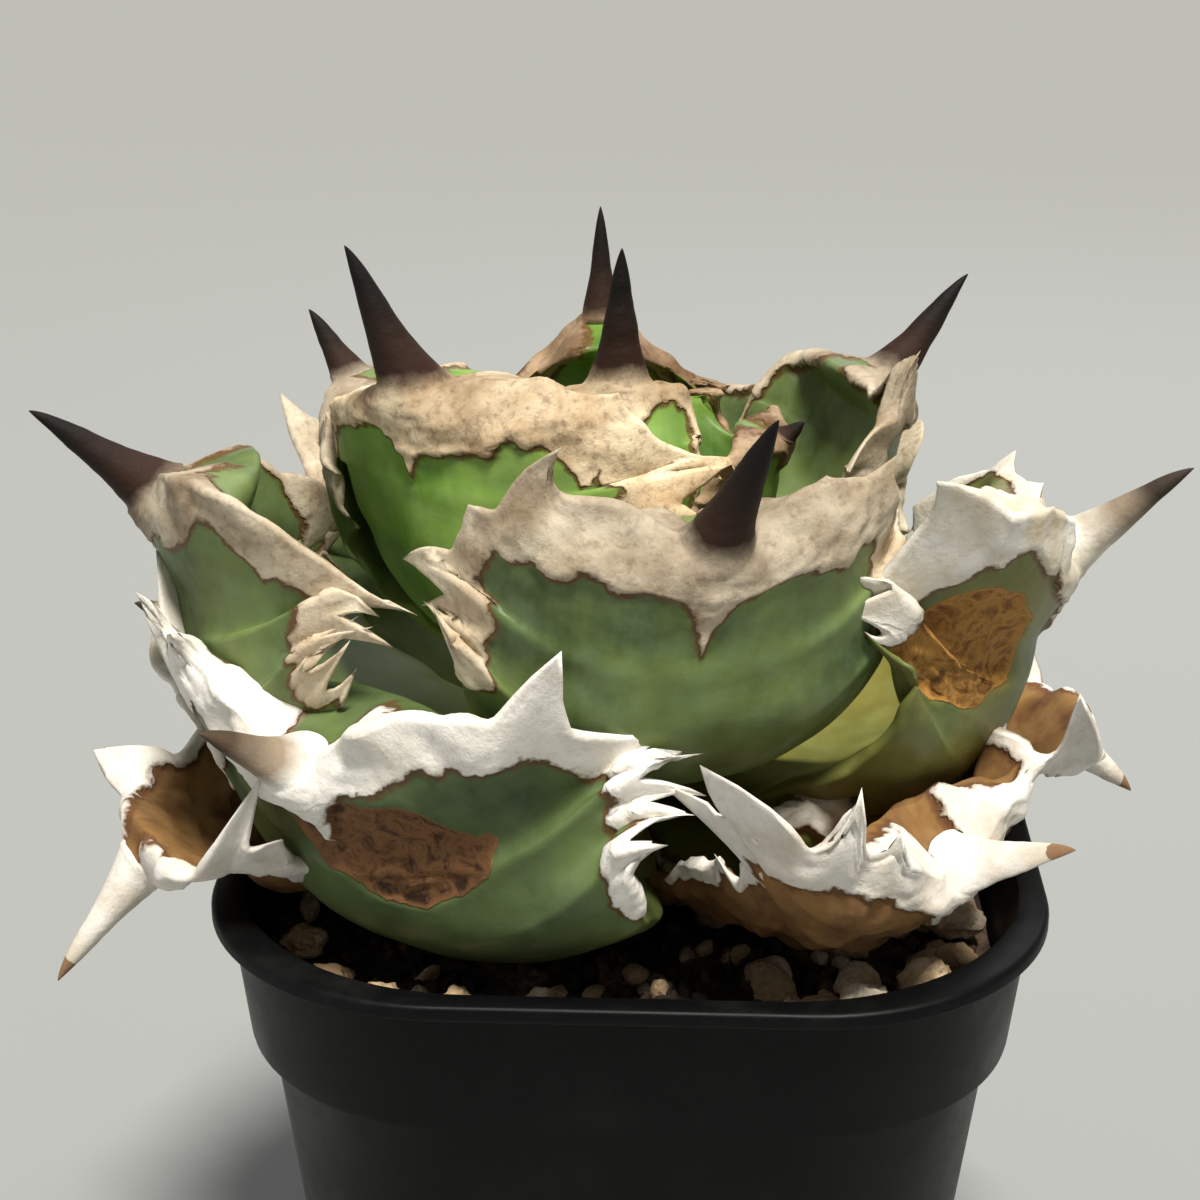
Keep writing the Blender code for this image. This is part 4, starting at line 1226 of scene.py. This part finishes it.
@dataclass
class NurseryPot:
    """Square pot with round corners, a lip and a collar; the frame's own pot sets its size."""
    low: Vector
    high: Vector
    wall: float = 1.4 * MM
    base_share: float = 65.0 / 90.0
    lip_overhang: float = 1.6 * MM
    lip_depth: float = 1.8 * MM
    band_depth: float = 15.5 * MM
    band_step: float = 1.8 * MM
    rim_corner: float = 26.5 * MM
    base_corner: float = 18.0 * MM
    floor: float = 2.0 * MM
    corner_steps: int = 24
    hole_radius: float = 4.0 * MM
    hole_place: float = 17.0 * MM

    def section(self) -> List[Tuple[float, float]]:
        """Lay out the pot's wall in section.

        Returns:
            (half width, height) up the outside and down the inside.
        """
        top = self.high.z
        lip = self.high.x
        foot = lip * self.base_share
        collar_foot = top - self.band_depth - self.lip_depth / 2
        waist = lip - self.lip_overhang - self.band_step * 1.9
        neck = lip - self.lip_overhang
        return [
            (foot - 1.0 * MM, 0.0), (foot - 0.35 * MM, 0.12 * MM), (foot - 0.05 * MM, 0.5 * MM),
            (foot, 1.0 * MM),
            (foot + (waist - foot) * 0.5, collar_foot * 0.5), (waist, collar_foot - 0.6 * MM),
            (waist + 0.15 * MM, collar_foot - 0.2 * MM), (waist + self.band_step - 0.5 * MM, collar_foot),
            (waist + self.band_step - 0.1 * MM, collar_foot + 0.15 * MM),
            (waist + self.band_step, collar_foot + 0.6 * MM),
            (neck - 0.1 * MM, top - self.lip_depth - 0.5 * MM), (neck, top - self.lip_depth - 0.1 * MM),
            (neck + 0.3 * MM, top - self.lip_depth), (lip - 0.3 * MM, top - self.lip_depth + 0.05 * MM),
            (lip, top - self.lip_depth + 0.4 * MM), (lip, top - 0.5 * MM),
            (lip - 0.15 * MM, top - 0.15 * MM),
            (lip - 0.5 * MM, top), (neck - self.wall + 0.5 * MM, top),
            (neck - self.wall + 0.12 * MM, top - 0.14 * MM), (neck - self.wall, top - 0.6 * MM),
            (waist + self.band_step - self.wall, collar_foot + self.band_step),
            (waist - self.wall, collar_foot - MM),
            (foot - self.wall + 0.2 * MM, self.floor + 0.4 * MM), (foot - self.wall - 0.5 * MM, self.floor),
        ]

    def inner_half(self, height: float) -> float:
        """Measure the pot's inside below the collar.

        Args:
            height: Where to measure.

        Returns:
            Half the clear width.
        """
        foot = self.high.x * self.base_share
        waist = self.high.x - self.lip_overhang - self.band_step * 1.9
        rise = min(height / (self.high.z - self.band_depth - self.lip_depth / 2), 1.0)
        return foot + (waist - foot) * rise - self.wall - 0.3 * MM

    def corner(self, height: float) -> float:
        """Measure the pot's round corners.

        Args:
            height: Where to measure.

        Returns:
            The corner radius.
        """
        return self.base_corner + (self.rim_corner - self.base_corner) * height / self.high.z

    def build(self) -> bpy.types.Object:
        """Make the pot's shell, with its drain holes, and hand it over.

        Returns:
            The pot.
        """
        rings = [rounded_square(half, self.corner(z), z, self.corner_steps) for half, z in self.section()]
        vertices, faces = skin_over(rings)
        pot = place_mesh("pot_shell", vertices, faces, PotPlastic().material())
        drill = self._drill()
        cut = pot.modifiers.new("drain", "BOOLEAN")
        cut.operation = "DIFFERENCE"
        cut.object = drill
        cut.solver = "EXACT"
        graph = bpy.context.evaluated_depsgraph_get()
        pot.data = bpy.data.meshes.new_from_object(pot.evaluated_get(graph))
        pot.modifiers.remove(cut)
        bpy.data.objects.remove(drill)
        pot.data.shade_smooth()
        pot.data.set_sharp_from_angle(angle=math.radians(45))
        hand_over(pot, ["pot"])
        return pot

    def _drill(self) -> bpy.types.Object:
        """Make four pegs where the drain holes go.

        Returns:
            The pegs, as one object.
        """
        pegs = bmesh.new()
        for sx in (1, -1):
            for sy in (1, -1):
                made = bmesh.ops.create_cone(pegs, cap_ends=True, segments=32, radius1=self.hole_radius,
                                             radius2=self.hole_radius,
                                             depth=self.floor * 3)
                bmesh.ops.translate(pegs, verts=made["verts"],
                                    vec=(sx * self.hole_place, sy * self.hole_place, 0))
        mesh = bpy.data.meshes.new("drill")
        pegs.to_mesh(mesh)
        pegs.free()
        return add_object("drill", mesh)


@dataclass(frozen=True)
class Mineral:
    """Loose mineral grains: pumice, or the dark damp grit between it."""
    name: str
    dark: str
    light: str
    pale: str
    lump_mm: float
    roughness: float = 0.9

    def material(self) -> bpy.types.Material:
        """Build the grains' node material, which varies from stone to stone and has open pores.

        Returns:
            The material.
        """
        material, tree, shader = new_material(self.name)
        coords = add_node(tree, "ShaderNodeTexCoord").outputs["Object"]
        tint = lumps_of(tree, coords, self.lump_mm, 3.0)
        colour = ramp(tree, tint.outputs[0], ((0.35, linear(self.dark)), (0.52, linear(self.light)),
                                              (0.7, linear(self.pale))))
        grain = lumps_of(tree, coords, 0.8, 6.0, 0.75)
        share = ramp(tree, grain.outputs[0], ((0.35, grey(0.6)), (0.55, grey(0.0))))
        colour = blend(tree, share, colour, linear(self.dark))
        tree.links.new(colour, shader.inputs["Base Color"])
        shader.inputs["Roughness"].default_value = self.roughness
        pores = add_node(tree, "ShaderNodeTexVoronoi", {"Scale": 1 / (0.9 * MM)}, {"Vector": coords})
        height = sum_of(tree, "ADD", grain.outputs[0],
                        ramp(tree, pores.outputs[0], ((0.12, grey(0.0)), (0.4, grey(0.6)))))
        bump = add_node(tree, "ShaderNodeBump", {"Strength": 0.8, "Distance": 0.5 * MM}, {"Height": height})
        tree.links.new(bump.outputs[0], shader.inputs["Normal"])
        return material


PUMICE = Mineral("pumice", dark="#8f7454", light="#c8ad86", pale="#e4d8c4", lump_mm=9.0)
DAMP_GRIT = Mineral("damp_grit", dark="#1d1510", light="#3a2b20", pale="#7a6248", lump_mm=4.0)


@dataclass
class PumiceStones:
    """The loose stones, each one worked up from its plain place in the frame."""
    names: List[str]

    def build(self, material: bpy.types.Material) -> List[bpy.types.Object]:
        """Make every stone inside its own box.

        Args:
            material: The stones' finish.

        Returns:
            The stones.
        """
        stones = []
        for index, name in enumerate(self.names):
            low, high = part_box(name)
            shape = bmesh.new()
            bmesh.ops.create_icosphere(shape, subdivisions=4, radius=1.0)
            drift = Vector((index * 3.7, index * 1.3, index * 5.9))
            for vertex in shape.verts:
                way = vertex.co.normalized()
                lump = 0.3 * noise.noise(way * 1.4 + drift) + 0.16 * noise.noise(way * 3.3 + drift)
                dent = max(0.0, noise.noise(way * 6.0 - drift) - 0.2)
                lump += 0.07 * noise.noise(way * 8.0 + drift) - 0.09 * dent
                vertex.co = way * (1 + lump)
            corners = [[min(v.co[k] for v in shape.verts),
                        max(v.co[k] for v in shape.verts)] for k in range(3)]
            for vertex in shape.verts:
                vertex.co = Vector((low[k] + (vertex.co[k] - corners[k][0]) / (corners[k][1] - corners[k][0])
                                    * (high[k] - low[k]) for k in range(3)))
            mesh = bpy.data.meshes.new(name + "_pumice")
            shape.to_mesh(mesh)
            shape.free()
            mesh.materials.append(material)
            mesh.shade_smooth()
            stone = add_object(name + "_pumice", mesh)
            hand_over(stone, [name])
            stones.append(stone)
        return stones


@dataclass
class Substrate:
    """The gritty filling: a lumpy bed with small grains strewn over it."""
    low: Vector
    high: Vector
    corner: Callable[[float], float]
    inner_half: Callable[[float], float]
    seed: int = 4

    def build(self, material: bpy.types.Material) -> bpy.types.Object:
        """Make the bed.

        Args:
            material: Its finish.

        Returns:
            The bed.
        """
        half = self.high.x
        top = self.high.z - 0.4 * MM
        rings = []
        for z in (self.low.z, self.low.z + 30 * MM, top - 9 * MM):
            wide = self.inner_half(z)
            rings.append(rounded_square(wide, min(self.corner(z), wide * 0.9), z, 20))
        rings.append(rounded_square(half * 0.99, self.corner(top), top - MM, 20))
        for share in np.linspace(0.98, 0.02, 46):
            ring = []
            for x, y, z in rounded_square(half * share, min(self.corner(top), half) * share, top, 20):
                coarse = noise.noise(Vector((x, y, 0)) / (4.5 * MM))
                fine = noise.noise(Vector((x, y, 0.01)) / (1.7 * MM))
                lump = coarse + 0.5 * fine
                ring.append((x, y, z + 0.5 * MM * lump - 0.5 * MM))
            rings.append(ring)
        vertices, faces = skin_over(rings)
        bed = place_mesh("substrate_bed", vertices, faces, material)
        hand_over(bed, ["substrate"])
        return bed

    def strew(self, name: str, material: bpy.types.Material, grain_size: float, grains: float,
              from_x: float = -1.0, slot: str = "substrate") -> bpy.types.Object:
        """Strew grains over the bed with Geometry Nodes.

        Args:
            name: What to call them.
            material: Their finish.
            grain_size: Radius of a grain before it is squashed, in metres.
            grains: How many to a square metre.
            from_x: The share of the half width they start at, from the left.
            slot: Not used.

        Returns:
            The grains, as one plain mesh.
        """
        half = self.high.x - 1.5 * MM - grain_size * 0.6
        ring = [(max(x, from_x * half), y, z) for x, y, z in
                rounded_square(half, min(self.corner(self.high.z), half) * 0.95,
                               self.high.z - 0.6 * MM + grain_size * 0.12, 10)]
        ring = [point for k, point in enumerate(ring) if point != ring[k - 1]]
        patch = place_mesh(name, ring, [tuple(range(len(ring)))], material)
        tree = self._tree(material)
        modifier = patch.modifiers.new("strew", "NODES")
        modifier.node_group = tree
        wanted = {"Grain Size": grain_size, "Density": grains, "Seed": self.seed}
        for item in tree.interface.items_tree:
            if item.item_type == "SOCKET" and item.in_out == "INPUT" and item.name in wanted:
                modifier[item.identifier] = wanted[item.name]
        graph = bpy.context.evaluated_depsgraph_get()
        graph.update()
        strewn = bpy.data.meshes.new_from_object(patch.evaluated_get(graph))
        patch.modifiers.remove(modifier)
        patch.data = strewn
        strewn.shade_smooth()
        hand_over(patch)
        return patch

    def _tree(self, material: bpy.types.Material) -> bpy.types.NodeTree:
        """Build the strewing tree: points on the bed, a lumpy grain on each, made real.

        Args:
            material: The grains' finish.

        Returns:
            The tree.
        """
        tree = bpy.data.node_groups.new("strew_grains", "GeometryNodeTree")
        face = tree.interface
        face.new_socket("Geometry", in_out="INPUT", socket_type="NodeSocketGeometry")
        face.new_socket("Grain Size", in_out="INPUT", socket_type="NodeSocketFloat")
        face.new_socket("Density", in_out="INPUT", socket_type="NodeSocketFloat")
        face.new_socket("Seed", in_out="INPUT", socket_type="NodeSocketInt")
        face.new_socket("Geometry", in_out="OUTPUT", socket_type="NodeSocketGeometry")
        start = add_node(tree, "NodeGroupInput")
        points = add_node(tree, "GeometryNodeDistributePointsOnFaces", {"distribute_method": "RANDOM"},
                          {"Mesh": start.outputs["Geometry"], "Density": start.outputs["Density"],
                           "Seed": start.outputs["Seed"]})
        ball = add_node(tree, "GeometryNodeMeshIcoSphere", {"Subdivisions": 2},
                        {"Radius": start.outputs["Grain Size"]})
        size = add_node(tree, "FunctionNodeRandomValue", {"data_type": "FLOAT_VECTOR", 0: (0.3, 0.25, 0.2),
                                                          1: (0.75, 0.6, 0.5)},
                                                          {"Seed": start.outputs["Seed"]})
        spin = add_node(tree, "FunctionNodeRandomValue", {"data_type": "FLOAT_VECTOR", 0: (0.0, 0.0, 0.0),
                                                          1: (6.28, 6.28, 6.28)})
        strewn = add_node(tree, "GeometryNodeInstanceOnPoints", None,
                          {"Points": points.outputs["Points"], "Instance": ball.outputs["Mesh"],
                           "Scale": size.outputs[0], "Rotation": spin.outputs[0]})
        real = add_node(tree, "GeometryNodeRealizeInstances", None, {"Geometry": strewn.outputs[0]})
        lump = add_node(tree, "ShaderNodeTexNoise", {"Scale": 1 / (1.2 * MM), "Detail": 1.0})
        centred = add_node(tree, "ShaderNodeVectorMath", {"operation": "SUBTRACT", 1: (0.5, 0.5, 0.5)},
                           {0: lump.outputs["Color"]})
        pushed = add_node(tree, "ShaderNodeVectorMath", {"operation": "SCALE", "Scale": 0.9 * MM},
                          {0: centred.outputs[0]})
        rough = add_node(tree, "GeometryNodeSetPosition", None,
                         {"Geometry": real.outputs[0], "Offset": pushed.outputs[0]})
        dressed = add_node(tree, "GeometryNodeSetMaterial", {"Material": material},
                           {"Geometry": rough.outputs[0]})
        add_node(tree, "NodeGroupOutput", None, {"Geometry": dressed.outputs[0]})
        return tree


@dataclass
class Stem:
    """The short stem, all but hidden by the leaves' feet."""
    low: Vector
    high: Vector
    sides: int = 48

    def build(self) -> bpy.types.Object:
        """Make the stem's ringed cone and hand it over.

        Returns:
            The stem.
        """
        centre = (self.low + self.high) / 2
        radius = (self.high.x - self.low.x) / 2
        section = ((0.8, 0.0), (0.95, 0.1), (1.0, 0.25), (0.97, 0.5), (0.72, 0.75), (0.46, 0.9), (0.3, 1.0))
        rings = []
        shares = np.linspace(0, 1, 40)
        widths = np.interp(shares, [s[1] for s in section], [s[0] for s in section])
        for rise, width in zip(shares, widths):
            wave = 1 - 0.03 * (0.5 + 0.5 * math.sin(rise * 60))
            ring = [(centre.x + radius * width * wave * math.cos(math.tau * k / self.sides),
                     centre.y + radius * width * wave * math.sin(math.tau * k / self.sides),
                     self.low.z + (self.high.z - self.low.z) * rise) for k in range(self.sides)]
            rings.append(ring)
        vertices, faces = skin_over(rings)
        finish = Mineral("stem_bark", dark="#5b4a2c", light="#8a8350", pale="#b0a870", lump_mm=5.0,
                         roughness=0.7)
        stem = place_mesh("stem_core", vertices, faces, finish.material())
        hand_over(stem, ["stem"])
        return stem


# --------------------------------------------------------------------------- studio


@dataclass
class Studio:
    """Pale floor, soft lights and the camera."""
    rim_centre: Vector
    lens: float = 72.0
    distance: float = 267.6 * MM
    elevation: float = 20.9
    azimuth: float = 2.5
    aim_side: float = -3.9 * MM
    aim_rise: float = 26.0 * MM
    key: float = 5.8
    key_spread: float = 14.0
    key_from: Tuple[float, float, float] = (0.12, -0.31, 0.94)
    fill: float = 0.5
    sky: float = 0.36
    floor_half: float = 4.0
    floor_colour: str = "#8a8d8c"
    key_colour: str = "#fffaf2"
    sky_colour: str = "#dcd8cf"

    def floor(self) -> None:
        """Lay a wide pale floor under the pot."""
        material, _, shader = new_material("pale_floor")
        shader.inputs["Base Color"].default_value = linear(self.floor_colour)
        shader.inputs["Roughness"].default_value = 0.75
        mesh = bpy.data.meshes.new("floor")
        side = self.floor_half
        mesh.from_pydata([(-side, -side, 0), (side, -side, 0), (side, side, 0), (-side, side, 0)], [],
                         [(0, 1, 2, 3)])
        mesh.materials.append(material)
        ground = add_object("floor", mesh)

    def camera(self) -> None:
        """Set the camera in front of the pot and a little above it."""
        turn = math.radians(self.azimuth)
        tilt = math.radians(self.elevation)
        right = Vector((math.cos(turn), math.sin(turn), 0))
        back = Vector((math.sin(turn) * math.cos(tilt), -math.cos(turn) * math.cos(tilt), math.sin(tilt)))
        aim = self.rim_centre + right * self.aim_side + Vector((0, 0, self.aim_rise))
        data = bpy.data.cameras.new("camera")
        data.lens = self.lens
        data.sensor_width = 36.0
        data.clip_start = 0.01
        data.dof.use_dof = False
        camera = add_object("camera", data)
        camera.location = aim + back * self.distance
        camera.rotation_mode = "QUATERNION"
        camera.rotation_quaternion = (-back).to_track_quat("-Z", "Y")
        bpy.context.scene.camera = camera

    def lights(self) -> None:
        """Hang a distant soft key high in front, two weak fills and a pale surround."""
        data = bpy.data.lights.new("key", "SUN")
        data.energy = self.key
        data.angle = math.radians(self.key_spread)
        data.color = linear(self.key_colour)[:3]
        key = add_object("key", data)
        key.rotation_mode = "QUATERNION"
        key.rotation_quaternion = (-Vector(self.key_from)).to_track_quat("-Z", "Y")
        for name, spot, size, power, colour in (
                ("rear", (0.15, 0.5, 0.45), 0.4, self.fill * 1.6, "#f2f6ff"),
                ("fill", (-0.6, -0.35, 0.3), 0.6, self.fill, "#eef3ff")):
            data = bpy.data.lights.new(name, "AREA")
            data.shape = "DISK"
            data.size = size
            data.energy = power
            data.color = linear(colour)[:3]
            lamp = add_object(name, data)
            lamp.location = spot
            lamp.rotation_mode = "QUATERNION"
            lamp.rotation_quaternion = (self.rim_centre - Vector(spot)).to_track_quat("-Z", "Y")
        world = bpy.data.worlds.new("surround")
        world.use_nodes = True
        background = world.node_tree.nodes["Background"]
        background.inputs[0].default_value = linear(self.sky_colour)
        background.inputs[1].default_value = self.sky
        bpy.context.scene.world = world

    def build(self) -> None:
        """Set up the whole studio."""
        self.floor()
        self.camera()
        self.lights()
        bpy.context.scene.view_settings.view_transform = "Standard"


def main() -> None:
    """Load the frame, build every piece and set the studio."""
    logging.basicConfig(level=logging.INFO, format="%(name)s %(message)s")
    for old in list(bpy.data.objects):
        bpy.data.objects.remove(old, do_unlink=True)
    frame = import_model()
    pot_low, pot_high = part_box("pot")
    pot = NurseryPot(pot_low, pot_high)
    pot.build()
    bed_low, bed_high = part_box("substrate")
    bed = Substrate(bed_low, bed_high, pot.corner, pot.inner_half)
    damp = DAMP_GRIT.material()
    pumice = PUMICE.material()
    bed.build(damp)
    bed.strew("grit", damp, 1.9 * MM, 190000.0)
    bed.strew("gravel", pumice, 6.0 * MM, 11000.0, -0.05, slot="pumice")
    bed.strew("crumbs", pumice, 3.0 * MM, 20000.0, -0.6, slot="pumice")
    PumiceStones(sorted(name for name in frame["nodes"] if name.startswith("stone"))).build(pumice)
    stem_low, stem_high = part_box("stem")
    Stem(stem_low, stem_high).build()
    Rosette(pot_high.z).build()
    rim = Vector(((pot_low.x + pot_high.x) / 2, (pot_low.y + pot_high.y) / 2, pot_high.z))
    Studio(rim).build()


if __name__ == "__main__":
    main()
